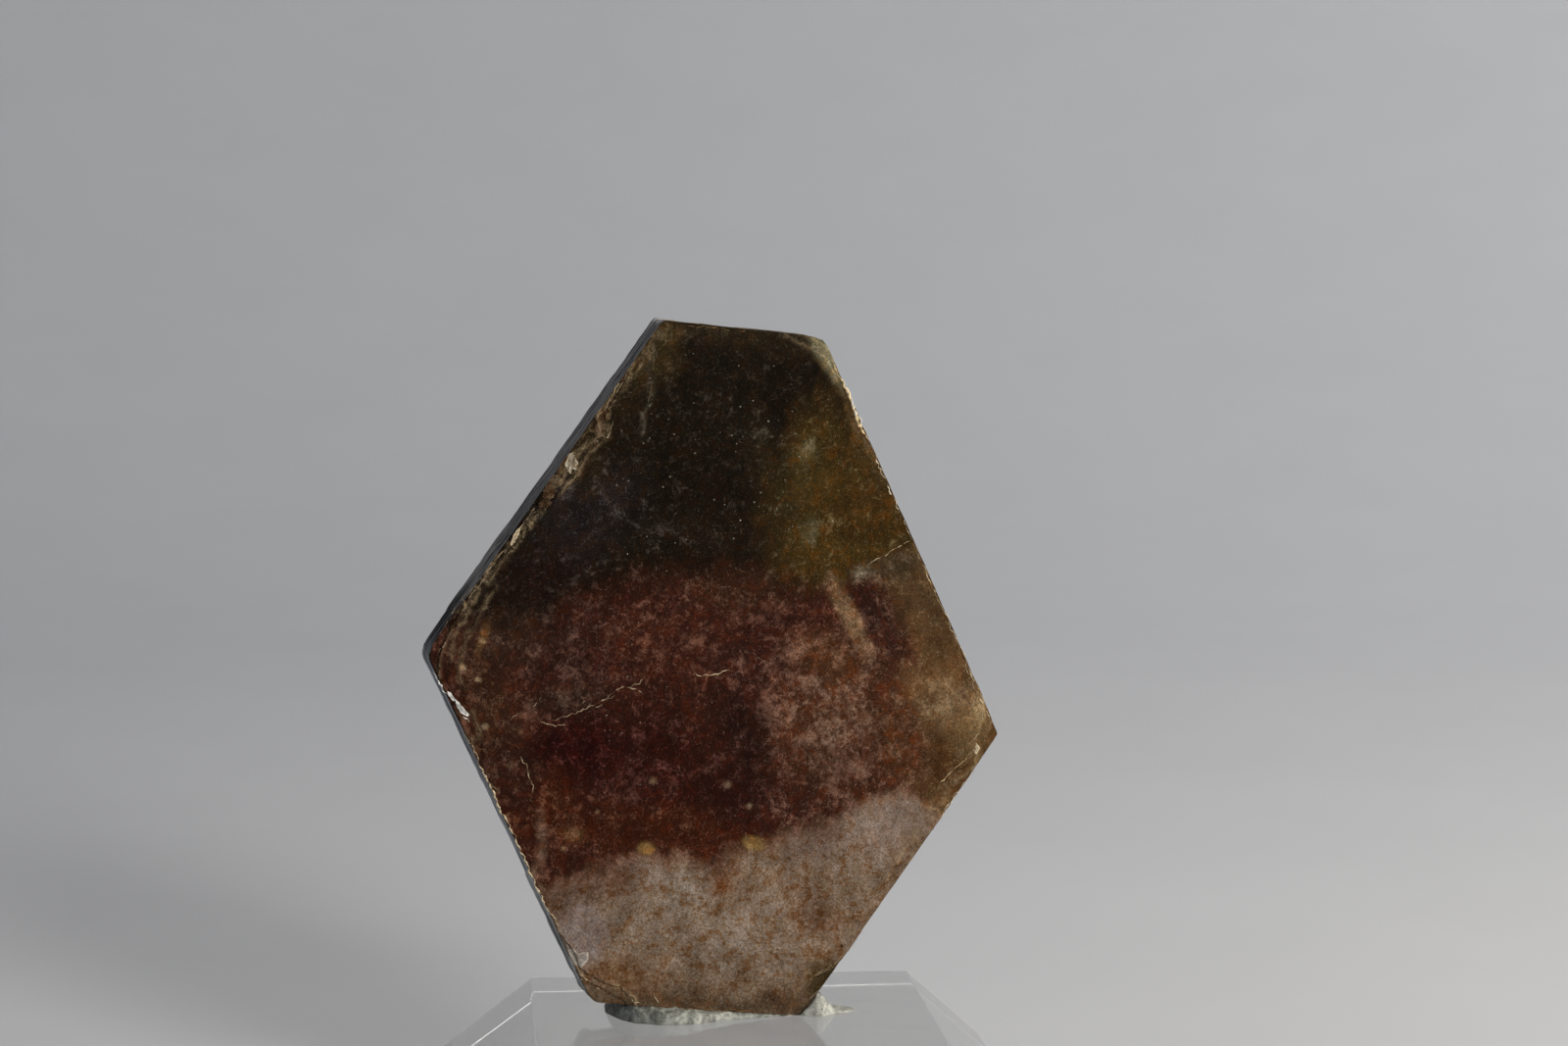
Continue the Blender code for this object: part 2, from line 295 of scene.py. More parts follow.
# broken sheets: the steps down as (distance in from the line, drop), how far the line is roughened,
# how pale its rim is, and the line of the break, closed outside the crystal
frontBreaks = {
    "upperLeftStrip": ([(0, 0.2), (0.7, 0.14)], 0.45, 0.55, [(-8.6, 37), (-9.3, 32.4), (-10, 30.2),
        (-11.5, 27.6), (-13, 24.6), (-12.6, 22.6), (-14.6, 20.4), (-16.6, 16.4), (-19.2, 13.9),
        (-21.2, 10.2), (-23.2, 6.9), (-26, 9.5), (-16, 30)]),
    "leftCornerOuter": ([(0, 0.5)], 0.25, 0.7, [(-26.5, 6.5), (-25.2, 4.3), (-26.4, 2), (-27.2, -0.9),
        (-27.2, -3.6), (-26.2, -6.3), (-27, -9.5), (-33, -2)]),
    "leftCornerInner": ([(0, 0.16), (1.1, 0.12)], 0.5, 0.35, [(-24.5, 8.2), (-22.4, 6.4), (-23.8, 3.6),
        (-25, 0.6), (-25.2, -2.7), (-24, -5.8), (-22.4, -8.7), (-21.6, -12.6), (-25, -14), (-34, -2)]),
    "rightSideStep": ([(0, 0.1)], 0.3, 0, [(15.1, 11.8), (19.6, 15), (24, 17), (33, 2), (32, -2.2),
        (26.6, -1.4), (24, 0.6), (21.4, 3.3), (18.3, 6.2), (16.2, 9.4)]),
    "rightCornerChip": ([(0, 0.3), (0.9, 0.3)], 0.4, 0.35, [(24.6, 6), (26.2, 3), (28.3, 0), (29, -2.5),
        (28.4, -4.9), (27.8, -7.4), (25.4, -9.5), (24, -12.5), (29, -13.5), (35, -4)]),
    "bottomLeftFlake": ([(0, 0.3), (0.8, 0.2)], 0.35, 0.6, [(-15.5, -26.5), (-12.4, -28.2),
        (-10.9, -30.2), (-9.9, -31.6), (-7.9, -32.6), (-5.9, -33.3), (-4.4, -34.4), (-3.6, -36.5),
        (-13, -37.5)]),
    "bottomRightFacet": ([(0, 0.28)], 0.12, 0.4, [(11.2, -37), (12, -33), (12.9, -31.9), (14, -30.7),
        (15.9, -29.7), (18.2, -26.8), (22, -26.5), (16, -38)]),
    "topRightChip": ([(0, 0.12), (0.8, 0.12)], 0.3, 0.2, [(3.4, 37), (4.4, 34.5), (6.6, 33.6),
        (8.4, 32.8), (9.7, 31.2), (11.2, 28.4), (15, 30), (10, 38)]),
    "lowerRightRim": ([(0, 0.2)], 0.6, 0.25, [(24.6, -12.6), (22.6, -16.4), (20.2, -20.6), (17.4, -25.4),
        (22, -27), (32, -12)]),
}
backBreaks = {
    "upperSheet": ([(0, 0.4), (1.2, 0.3)], 0.3, 0.24, [(-24, 14), (-9, 5.4), (-3.6, 8.6), (7, 2.4),
        (24, 12.2), (26, 40), (-24, 40)]),
    "topFlake": ([(0, 0.35), (1, 0.25)], 0.3, 0.24, [(-14, 30), (-2.5, 23.4), (14.5, 33.2), (12, 40),
        (-12, 40)]),
    "lowerRightSheet": ([(0, 0.3), (0.9, 0.2)], 0.3, 0.24, [(34, -10), (17, -14.2), (9.2, -27.7),
        (12, -40), (34, -38)]),
    "leftCornerSheet": ([(0, 0.5), (1.2, 0.5)], 0.35, 0.24, [(-34, 8), (-23, 1.4), (-21.2, -8.2),
        (-34, -16)]),
}


def inwardDistance(points, line):
    # distance in from a closed line, negative outside it, with the direction that leads inward
    corners = np.array(line, float)
    best = np.full(len(points), 1e9)
    nearest = np.zeros_like(points)
    inside = np.zeros(len(points), bool)
    for a, b in zip(corners, np.roll(corners, -1, axis=0)):
        along = b - a
        t = np.clip((points - a) @ along / (along @ along), 0, 1)
        foot = a + t[:, None] * along
        gap = np.linalg.norm(points - foot, axis=1)
        closer = gap < best
        best[closer] = gap[closer]
        nearest[closer] = foot[closer]
        crosses = (a[1] > points[:, 1]) != (b[1] > points[:, 1])
        with np.errstate(divide="ignore", invalid="ignore"):
            edgeX = a[0] + (points[:, 1] - a[1]) * along[0] / along[1]
        inside ^= crosses & (points[:, 0] < edgeX)
    sign = np.where(inside, 1.0, -1.0)
    inward = (points - nearest) / np.maximum(best, 1e-6)[:, None] * sign[:, None]
    return best * sign, inward


def walkBreaks(points, breaks):
    # for every step of every broken sheet: how far past it each point is, the way in, drop, rim, seed
    x, z = points[:, 0], points[:, 1]
    for number, (steps, wobble, rim, line) in enumerate(breaks.values()):
        for stepNumber, (offset, fall) in enumerate(steps):
            seed = 200 + 31 * number + 7 * stepNumber
            distance, inward = inwardDistance(points, line)
            ragged = 0.7 * roughNoise(x, z, 1.9, seed, 3) + 0.3 * softNoise(x, z, 0.55, seed + 9)
            yield distance + wobble * ragged - offset, inward, fall, rim, seed


def settleOnBreaks(points, breaks, step, fixed):
    # draws the net's points onto each break line, so that its wall is crisp
    wall = crystal["wallWidth"]
    for gap, inward, _, _, _ in walkBreaks(points, breaks):
        near = (np.abs(gap) < 0.5 * step) & ~fixed
        past = (gap >= 0.5 * step) & (gap < 1.5 * step) & ~fixed
        shift = np.zeros(len(points))
        shift[near] = -gap[near]
        shift[past] = wall + (gap[past] - 0.5 * step) * (1.5 * step - wall) / step - gap[past]
        points += np.clip(shift, -0.5 * step, 0.5 * step)[:, None] * inward * 0.9
    return points


def dropAt(points, breaks):
    # how far the broken sheets lie below the face, and how pale the rims are
    drop = np.zeros(len(points))
    paleness = np.zeros(len(points))
    for gap, _, fall, rim, seed in walkBreaks(points, breaks):
        drop += fall * ease(0.01, crystal["wallWidth"], gap)
        patchy = ease(-0.35, 0.5, roughNoise(points[:, 0], points[:, 1], 2.6, seed + 40, 3))
        ridge = np.exp(-(np.minimum(gap, 0) / 0.22) ** 2) * np.exp(-(np.maximum(gap, 0) / 0.2) ** 2)
        paleness = np.maximum(paleness, rim * patchy * ridge)
    return drop, paleness


def swell(points, height, size, seed):
    return height * (1 + roughNoise(points[:, 0], points[:, 1], size, seed, 3))


def frontDepth(points):
    return dropAt(points, frontBreaks)[0] + swell(points, *crystal["frontSwell"])


def outlineCorner(distances, here, ahead):
    a, b = math.radians(here), math.radians(here + 60)
    x = (distances[here] * math.sin(b) - distances[ahead] * math.sin(a)) / math.sin(b - a)
    z = (distances[ahead] * math.cos(a) - distances[here] * math.cos(b)) / math.sin(b - a)
    return np.array([x, z])


def fitOutline(points, netDistances, wanted):
    # brings a net hexagon to the crystal's own distances and rounds its corners
    moved = points.copy()
    for degrees, netDistance in netDistances.items():
        normal = facing(degrees)
        inFrom = netDistance - points @ normal
        ragged = crystal["edgeRagged"] * roughNoise(points @ facing(degrees + 90), degrees, 1.8, 3, 3)
        shift = (wanted[degrees] - netDistance) * (1 - ease(0, 5, inFrom))
        moved += normal * (shift + ragged * (1 - ease(0, 0.9, inFrom)))[:, None]
    order = sorted(wanted)
    for here, ahead in zip(order, order[1:] + order[:1]):
        radius = crystal["cornerRadii"][here]
        middle = facing(here + 30)
        hub = outlineCorner(wanted, here, ahead) - radius / math.cos(math.radians(30)) * middle
        spoke = moved - hub
        turn = np.degrees(np.arctan2(spoke @ facing(here + 120), spoke @ middle))
        within = np.abs(turn) < 30
        shrink = np.cos(np.radians(30 - np.abs(turn[within])))
        moved[within] = hub + spoke[within] * shrink[:, None]
    return moved


def netPoints(step, counts):
    # triangular net with rows along the crystal's own edges, and the order of its outer points
    spots, index = [], {}
    for j in range(-counts[270], counts[90] + 1):
        for i in range(-counts[150], counts[330] + 1):
            if -counts[210] <= i + j <= counts[30]:
                index[(i, j)] = len(spots)
                spots.append(((i + j / 2) * step, j * step * math.sqrt(3) / 2))
    triangles = []
    for (i, j), here in index.items():
        right, up, corner = index.get((i + 1, j)), index.get((i, j + 1)), index.get((i + 1, j + 1))
        if right is not None and up is not None:
            triangles.append((here, right, up))
            if corner is not None:
                triangles.append((right, corner, up))
    # anticlockwise from the right-hand corner
    i, j = counts[330], counts[30] - counts[330]
    walk = []
    for di, dj in ((-1, 1), (-1, 0), (0, -1), (1, -1), (1, 0), (0, 1)):
        while (i + di, j + dj) in index:
            walk.append(index[(i, j)])
            i, j = i + di, j + dj
    return np.array(spots), walk, triangles


def fitNet(step, counts, netDistances, wanted, breaks):
    # one broad face: a net fitted to its outline and settled on its breaks
    spots, walk, triangles = netPoints(step, counts)
    spots = fitOutline(spots, netDistances, wanted)
    fixed = np.zeros(len(spots), bool)
    fixed[walk] = True
    return settleOnBreaks(spots, breaks, step, fixed), walk, triangles


def smoothLoop(values, reach):
    kernel = np.hanning(2 * reach + 3)[1:-1]
    kernel /= kernel.sum()
    padded = np.concatenate([values[-reach:], values, values[:reach]])
    return np.convolve(padded, kernel, "valid")


def loopFrame(ring):
    # outward directions and running length round a closed loop of points
    ahead, behind = np.roll(ring, -1, axis=0), np.roll(ring, 1, axis=0)
    along = ahead - behind
    along /= np.linalg.norm(along, axis=1)[:, None]
    outward = np.stack([smoothLoop(along[:, 1], 3), smoothLoop(-along[:, 0], 3)], 1)
    outward /= np.linalg.norm(outward, axis=1)[:, None]
    length = np.concatenate([[0], np.cumsum(np.linalg.norm(np.diff(ring, axis=0), axis=1))])
    return outward, length


def faceShare(outward, values):
    # blends the six faces' values by the direction that each outer point looks
    total, weight = 0.0, 0.0
    for degrees, value in values.items():
        w = np.clip(outward @ facing(degrees), 0, 1) ** 12
        total = total + w * value
        weight = weight + w
    return total / weight


def crystalPlace():
    spot = Vector((crystal["besideMiddle"] * mm, crystal["frontY"] * mm, blockTop + crystal["rise"] * mm))
    return spot, Euler((0, math.radians(crystal["tiltDeg"]), math.radians(crystal["turnDeg"])))


def toStand(points):
    # from the crystal's own frame in mm to the stand's frame in metres
    spot, turn = crystalPlace()
    return np.asarray(points) * mm @ np.array(turn.to_matrix()).T + np.array(spot)


def crystalSpot(tree):
    # shader coordinates that lie in the crystal's own frame
    spot, turn = crystalPlace()
    point = addNode(tree, "TexCoord", {})["Object"]
    return addNode(tree, "Mapping", {"Vector": point, "Location": spot, "Rotation": turn},
                   vector_type="TEXTURE")["Vector"]


def buildCrystalForm():
    step, thickness, distances = crystal["netStep"], crystal["thickness"], crystal["faceDistances"]
    nearFront, nearBack, count = crystal["nearFront"], crystal["nearBack"], crystal["sheetCount"]
    row = step * math.sqrt(3) / 2
    counts = {a: int(2 * round(d / row / 2)) for a, d in distances.items()}
    netDistances = {a: n * row for a, n in counts.items()}
    front, walk, frontTriangles = fitNet(step, counts, netDistances, distances, frontBreaks)
    frontDrop, frontRim = dropAt(front, frontBreaks)
    frontDrop += swell(front, *crystal["frontSwell"])
    coarse = {a: n // 2 for a, n in counts.items()}
    spread = {a: d + crystal["backSpread"][a] for a, d in distances.items()}
    back, backWalk, backTriangles = fitNet(2 * step, coarse, netDistances, spread, backBreaks)

    ring = front[walk]
    outward, length = loopFrame(ring)
    reach = faceShare(outward, crystal["backSpread"])
    startDrop = frontDrop[walk]
    backDropRing, _ = dropAt(ring + outward * reach[:, None], backBreaks)

    # sheets: thickness and step back differ from one to the next
    numbers = np.arange(count)
    weights = 0.45 + cellValue(numbers, 0, 5)
    bounds = np.concatenate([[0], np.cumsum(weights / weights.sum())]) * thickness
    stepBack = crystal["sheetStepBack"] * cellValue(numbers, 3, 11)
    stepBack[0] = 0.0
    depths = [(0, bounds[1])]
    for sheet in range(1, count):
        depths += [(sheet, bounds[sheet] + crystal["sheetGap"]), (sheet, bounds[sheet + 1])]
    depths[-1] = (count - 1, thickness)

    vertices = [np.stack([front[:, 0], frontDrop, front[:, 1]], 1)]
    rims = [frontRim]
    loops = [np.array(walk)]
    total = len(front)
    for sheet, depth in depths:
        wander = crystal["sheetWander"] * roughNoise(length, 17 * sheet, 2.6, 31 + sheet, 3)
        nick = crystal["sheetNick"] * ease(0.35, 0.7, softNoise(length, 5 * sheet, 3.4, 77 + sheet))
        offset = reach * depth / thickness - stepBack[sheet] + wander - nick * (sheet > 0)
        y = np.full(len(walk), depth)
        if depth < nearFront:
            y = startDrop + depth * (nearFront - startDrop) / nearFront
        if depth > thickness - nearBack:
            y = thickness - nearBack + (depth - thickness + nearBack) * (nearBack - backDropRing) / nearBack
        spots = ring + outward * offset[:, None]
        vertices.append(np.stack([spots[:, 0], y, spots[:, 1]], 1))
        rims.append(np.zeros(len(walk)))
        loops.append(np.arange(total, total + len(walk)))
        total += len(walk)

    # the back shares every second point of the last loop
    lastLoop = loops[-1]
    backMap = np.full(len(back), -1)
    backMap[backWalk] = lastLoop[::2]
    inner = np.flatnonzero(backMap < 0)
    backMap[inner] = np.arange(total, total + len(inner))
    backDrop, backRim = dropAt(back[inner], backBreaks)
    backDrop += swell(back[inner], *crystal["backSwell"])
    vertices.append(np.stack([back[inner, 0], thickness - backDrop, back[inner, 1]], 1))
    rims.append(backRim)

    faces = list(frontTriangles)
    for near, far in zip(loops, loops[1:]):
        for i in range(len(near)):
            j = (i + 1) % len(near)
            faces.append((near[i], far[i], far[j], near[j]))
    sideFaces = len(faces) - len(frontTriangles)
    between = {}
    for here, ahead, middle in zip(backWalk, backWalk[1:] + backWalk[:1], lastLoop[1::2]):
        between[(here, ahead)] = between[(ahead, here)] = middle
    for triangle in backTriangles:
        corners = []
        for a, b in zip(triangle, triangle[1:] + triangle[:1]):
            corners.append(backMap[a])
            if (a, b) in between:
                corners.append(between[(a, b)])
        faces.append(tuple(reversed(corners)))
    # material of each face: the broad faces, then the sheets' edges between them
    slots = [0] * len(frontTriangles) + [1] * sideFaces + [0] * len(backTriangles)
    return np.concatenate(vertices), faces, slots, np.concatenate(rims)


# colour zones of the crystal, from borders drawn across the face and soft places laid over them;
# a colour is ground, share of milky flecks, fleck colour, both colours in percent;
# a place is x, z, half width, half height, turn, softness, strength, and a colour where it paints one
mica = {
    "groundGain": 0.55,
    "toneGain": 1.04,
    "milkShare": 0.62,
    "rustGain": (1.7, 1.25, 0.85),
    "mottleTones": ((0.72, 0.5, 0.29), (1.2, 1.26, 1.34), (0.84, 0.7, 0.52)),
    "hairGain": (1.35, 1.45, 1.5),
    "speck": (0.6, 0.56, 0.46),
    "rimTone": (0.38, 0.28, 0.16),
    "filmTone": (0.103, 0.071, 0.04),
    "filmEdge": (0.17, 0.128, 0.078),
    "filmRust": (0.055, 0.024, 0.011),
    "roughness": (0.30, 0.50),
    "specular": 0.02,
    "bump": (0.5, 0.03),                   # strength, depth in mm
    "dustScale": 1700.0,
    # noises in the finish: scale, detail, roughness, distortion, stretch, turn
    "grain": {
        "cloud": (520, 6.0, 0.62, 0.6),
        "puffs": (1500, 4.0, 0.68, 1.0),
        "thread": (2600, 3.0, 0.7, 1.8, (2.2, 1.0, 0.8), (0, 0.5, 0)),
        "curls": (2600, 3.0, 0.65, 1.6),
        "rust": (800, 5.0, 0.6, 0.8),
        "patches": (720, 7.0, 0.74, 0.5),
        "veins": (1700, 4.0, 0.66, 1.2),
        "chips": (2100, 5.0, 0.7, 0.6),
        "hairs": (4300, 3.0, 0.7, 2.6, (1.0, 1.0, 0.6), (0, 0.4, 0)),
        "fine": (6000, 2.0, 0.7, 0.8),
        "shade": (330, 4.0, 0.6, 0.4, (1.2, 1.0, 0.85)),
        "films": (620, 4.0, 0.62, 1.6),
    },
    "belt": ((3.2, 0.9, 0.49), 0.4, (15.2, 6.7, 4.4)),
    "beltPlaces": {
        "plumLeft": (-15.5, 1.5, 6.5, 5, 0, 0.6, 0.8, (2.4, 0.79, 0.56), 0.33, (10.4, 5.7, 4.2)),
        "leftGrey": (-21.5, 3.5, 4.2, 6, -30, 0.6, 0.85, (2.8, 1.38, 0.8), 0.45, (8.8, 5.1, 3.6)),
        "beltWarm": (3, 9.2, 6.5, 2.6, 0, 0.7, 0.6, (3.4, 1.28, 0.56), 0.41, (13.4, 8.7, 5.6)),
        "beltMilk": (-4.5, 3.6, 6, 2.4, 0, 0.8, 0.6, (4, 1.14, 0.66), 0.53, (15.7, 7.6, 4.8)),
        "orangeSpot": (-23, 1.9, 0.42, 1.7, -12, 0.6, 0.75, (9.8, 4.9, 1.77), 0.53, (27, 18.2, 8.5)),
        "greyPatch": (-14.4, -4, 3.8, 1.7, 15, 0.6, 0.75, (2.2, 1.05, 0.76), 0.53, (12.1, 7.9, 5.5)),
        "leftFlank": (-21.5, -6.5, 2.4, 7, 28, 0.6, 0.8, (3.6, 1.47, 0.76), 0.41, (14.2, 7.9, 4.7)),
        "maroonLeft": (-12.8, -9.2, 4.6, 3.6, 0, 0.6, 0.9, (1.52, 0.2, 0.18), 0.26, (7.6, 2.1, 1.86)),
        "maroonMiddle": (-5.4, -9.5, 5, 4.6, 0, 0.7, 0.7, (1.67, 0.29, 0.23), 0.36, (8.3, 2.9, 2.6)),
        "maroonLow": (2.6, -12.5, 4.2, 3.2, 0, 0.7, 0.7, (1.42, 0.3, 0.23), 0.31, (6, 2.3, 2)),
        "darkCentre": (4.4, -6, 2.5, 4.9, 12, 0.8, 0.75, (0.88, 0.34, 0.3), 0.31, (4.8, 2.7, 2.5)),
        "darkAbove": (5, 1.6, 3.4, 2, 0, 0.8, 0.5, (1.92, 0.64, 0.46), 0.37, (9.3, 5.6, 4.3)),
        "rustLeft": (-15.8, -14.6, 3.4, 3, 25, 0.7, 0.85, (4.6, 1.03, 0.36), 0.31, (15.8, 7, 3.6)),
        "rustBand": (-4, -16.4, 8.5, 2.3, 0, 0.7, 0.8, (4.2, 1.03, 0.38), 0.27, (14.7, 6.5, 3.7)),
        "plumRight": (9.5, -13, 4, 2.6, 15, 0.8, 0.6, (2.8, 0.85, 0.6), 0.45, (14.7, 8.3, 6)),
        "roseRight": (14.8, -4.6, 6.6, 7, 15, 0.8, 0.9, (6.3, 2.35, 1.03), 0.58, (21.6, 13.9, 9.5)),
        "roseCream": (12.8, -6.4, 1.5, 0.7, 10, 0.7, 0.45, (7.8, 3.7, 1.97), 0.88, (23, 15.9, 11.2)),
        "roseCloud": (11, -1.6, 2.6, 1.5, 20, 0.8, 0.2, (6.8, 2.7, 1.24), 0.73, (22, 13.3, 8.9)),
        "roseLow": (17.8, -7.4, 4.4, 2.4, 18, 0.8, 0.6, (4.1, 1.3, 0.69), 0.54, (12.4, 6.4, 4.5)),
        "purpleRight": (17, 6.2, 2.4, 3.6, 31, 0.6, 0.85, (2.3, 0.76, 0.55), 0.39, (12.6, 7.1, 5)),
        "darkNotch": (20.2, -1.6, 1.6, 2.6, -25, 0.7, 0.4, (2.4, 0.78, 0.48), 0.33, (11.1, 6.1, 4)),
        "maroonFlank": (-18.8, -12.4, 2.3, 3.4, 30, 0.6, 0.85, (2.4, 0.8, 0.53), 0.23, (11.6, 6.4, 4.3)),
        "rightHaze": (20, -3.5, 3, 8.5, 10, 0.8, 0.6, (5.3, 1.76, 0.87), 0.48, (17.8, 10.4, 6.3)),
        "orangeCloud": (12, 2.2, 3.4, 2, -15, 0.8, 0.7, (7.8, 3, 1.15), 0.5, (18.5, 10.3, 6)),
        "orangeEdge": (20.2, -5.5, 1.6, 4.2, 5, 0.8, 0.6, (8, 3.2, 1.2), 0.45, (18.5, 11, 6.2)),
    },
    "crown": ((0.7, 0.44, 0.19), 0.31, (4.7, 3.7, 2.7)),
    "crownBorder": [(-26, 3.4), (-22.5, 4), (-19, 4.3), (-16, 4.8), (-13, 7), (-9.9, 8.1), (-3.8, 9.7),
        (0.9, 10.7), (5.3, 10.6), (9.7, 10.3), (13, 10.6), (17, 12.4), (21, 15.4)],
    "crownPlaces": {
        "brownLeft": (-13.5, 14.5, 5.5, 3.6, 45, 0.7, 0.6, (1.97, 1.38, 1.47), 0.32, (9.2, 8.7, 10.2)),
        "greyWisps": (-8.5, 13.6, 6, 1.5, -5, 0.8, 0.7, (0.87, 0.55, 0.35), 0.52, (6.3, 5.6, 4.9)),
        "brownMiddle": (-1.5, 19.5, 4, 3, 0, 0.8, 0.5, (0.77, 0.39, 0.19), 0.36, (4.1, 2.8, 2)),
        "oliveTop": (0.5, 34.7, 12.5, 1.7, 0, 0.7, 0.9, (2.2, 1.43, 0.6), 0.42, (6.7, 5.3, 3)),
        "oliveCorner": (-9.4, 31, 2.6, 3.6, -30, 0.6, 0.85, (3.9, 2.4, 0.77), 0.48, (12.6, 9.4, 4.2)),
        "paleStreak": (-8.6, 28.4, 0.3, 3.6, 0, 0.8, 0.75, (3.5, 2.9, 1.81), 0.72, (13.8, 12.8, 10.1)),
        "topGrain": (2.5, 31, 5.5, 2.4, 0, 0.8, 0.1, (1.05, 0.62, 0.27), 0.44, (7.6, 5.7, 3.5)),
        "greenMist": (2.4, 23.6, 1.7, 4.2, 0, 0.8, 0.7, (1.34, 0.93, 0.41), 0.5, (7.5, 6.4, 4)),
        "lowMist": (1.5, 13.6, 6, 1.6, 0, 0.8, 0.55, (1.54, 0.84, 0.44), 0.48, (8.7, 6.5, 4.7)),
        "leftOlive": (-15.5, 22.5, 1.8, 5.5, 30, 0.7, 0.6, (2.5, 1.43, 0.52), 0.38, (13, 9.1, 4.8)),
        "cornerOlive": (-11.6, 25.4, 2.2, 4.8, -30, 0.8, 0.7, (1.48, 0.95, 0.36), 0.4, (5.2, 3.9, 2.2)),
        "darkBrow": (4.8, 28.7, 2.8, 2.6, 0, 0.8, 0.85, (0.55, 0.31, 0.12), 0.25, (3.5, 2.6, 1.6)),
        "grainMid": (-1.9, 25.1, 3.4, 3.2, 0, 0.8, 0.55, (0.85, 0.52, 0.22), 0.42, (5.5, 4.3, 3)),
        "plumEdge": (-17.5, 7.4, 5, 3.2, 30, 0.8, 0.75, (1.1, 0.48, 0.38), 0.32, (5, 3.1, 2.7)),
    },
    "olive": ((4.7, 2.6, 0.46), 0.34, (11.8, 9, 4)),
    "oliveBorder": [(9.5, 6.6), (12.1, 5.6), (14.7, 4.8), (17.8, 4.4), (21, 4.6), (24.6, 5.8),
        (28.4, 8.4), (31, 10.8), (34, 12.5)],
    "olivePlaces": {
        "amberBrow": (7, 25.6, 1.8, 2.4, 35, 0.8, 0.7, (3.7, 1.86, 0.3), 0.3, (11.3, 7.3, 2.6)),
        "brownShoulder": (11.4, 28.2, 2, 4, 28, 0.7, 0.85, (1.75, 0.98, 0.27), 0.26, (7.1, 4.7, 2.3)),
        "roseShoulder": (15.2, 21, 1.3, 3.6, 30, 0.8, 0.55, (5.9, 3.3, 0.94), 0.38, (15.7, 11.2, 7.1)),
        "paleSpot": (8.1, 23, 1, 1.2, 0, 0.7, 0.9, (11, 9, 3.2), 0.75, (25, 22, 14.7)),
        "paleHalo": (7.4, 21.6, 2.2, 2.8, 0, 0.8, 0.55, (6.6, 4.5, 1.16), 0.5, (17.2, 13.7, 7.2)),
        "paleLow": (8.6, 14.9, 0.8, 1.3, -10, 0.8, 0.85, (7.6, 6.2, 2.3), 0.7, (21, 17.7, 11.9)),
        "darkInner": (5.6, 17.6, 1.6, 3.4, 0, 0.8, 0.7, (2.2, 1.58, 0.53), 0.38, (8.7, 7.6, 5.3)),
        "khaki": (13.6, 16.6, 3, 2.8, 0, 0.8, 0.6, (4.1, 2, 0.36), 0.34, (11.7, 7, 2.9)),
        "rimPale": (13.4, 25.2, 0.6, 8, 30, 0.7, 0.7, (10.2, 6.2, 2.2), 0.42, (20, 15, 7.4)),
    },
    "streak": {
        "peach": (13.5, 7, 1, 4.3, 31, 0.45, 1, (9.7, 5.3, 2.5), 0.78, (24, 15.2, 8.6)),
        "peachTail": (16.2, 2, 1, 1.4, 31, 0.8, 0.6, (6.7, 3.3, 1.71), 0.6, (16.3, 9.7, 6.2)),
        "stepMist": (14.9, 11.3, 1.2, 0.7, 20, 0.8, 0.9, (7.2, 5.4, 3.2), 0.75, (18.4, 15.2, 10.4)),
        "stepGlow": (18.6, 12, 2.2, 1.5, 33, 0.7, 0.8, (4.4, 3.1, 1.54), 0.5, (11.4, 9, 5.4)),
        "topCorner": (8.9, 33.1, 0.85, 3.6, 36, 0.8, 0.85, (21, 19, 10.5), 0.6, (33, 29, 18.5)),
    },
    "rightSide": ((9.6, 5.2, 2.1), 0.42, (14.9, 9.8, 4.7)),
    "rightBorder": [(-14, 24.5), (-10, 22.6), (-6, 23.6), (-3, 22.6), (0, 20.6), (3, 21.2), (6, 20),
        (9, 18.6), (12, 17.4), (15, 19.5)],
    "rightPlaces": {
        "peachGround": (21, 0.6, 2.2, 2.4, 0, 0.8, 0.75, (11.5, 5.8, 2.6), 0.5, (21, 12.6, 7.2)),
        "paleCorner": (26.6, -2.6, 2, 3.4, 20, 0.7, 0.9, (18.9, 11.3, 5.4), 0.6, (27, 18.7, 10.8)),
        "tanCorner": (24.6, -0.2, 2.2, 3, -20, 0.8, 0.7, (15.9, 8.3, 3.3), 0.45, (21, 12.6, 5.9)),
        "brownEdge": (26, -8, 2.4, 2.4, 0, 0.7, 0.75, (6.3, 2.6, 0.86), 0.36, (12.8, 6.3, 2.4)),
        "greyEdge": (21.8, 8, 1.6, 3.8, 30, 0.8, 0.6, (6.6, 4, 1.9), 0.42, (13, 8.7, 4.8)),
        "whiteVeil": (24.8, -1.4, 2.3, 2, 30, 0.8, 0.7, (16, 10.6, 5.6), 0.7, (24, 17.4, 10.5)),
        "oliveHeel": (27.6, -5.4, 1.6, 2.2, 20, 0.8, 0.7, (11.5, 6.8, 2.6), 0.4, (20, 13.8, 6.8)),
        "goldCorner": (28.7, -2.4, 1.1, 3.2, -8, 0.7, 0.7, (20, 13.2, 5.8), 0.6, (30, 22, 12.1)),
    },
    "foot": ((19, 12.2, 7.2), 0.95, (15.6, 12, 9.4)),
    "footBorder": [(-17, -24), (-14.5, -23.4), (-11.5, -22.3), (-8.5, -21.2), (-6, -20), (-0.9, -19.2),
        (2.4, -19.8), (5.4, -17.8), (9.4, -16.6), (14.1, -15), (16.7, -13.3), (19.7, -11.6),
        (22.5, -11.2), (25, -13.2), (28, -16)],
    "footPlaces": {
        "brownLeft": (-13, -23, 4.6, 3.4, 20, 0.7, 0.85, (7.7, 3.7, 2.18), 0.62, (9.78, 6.08, 4.46)),
        "rustUnder": (-7.5, -21.6, 4.6, 2.2, 0, 0.8, 0.7, (11, 5, 2.8), 0.8, (10.5, 7, 5.5)),
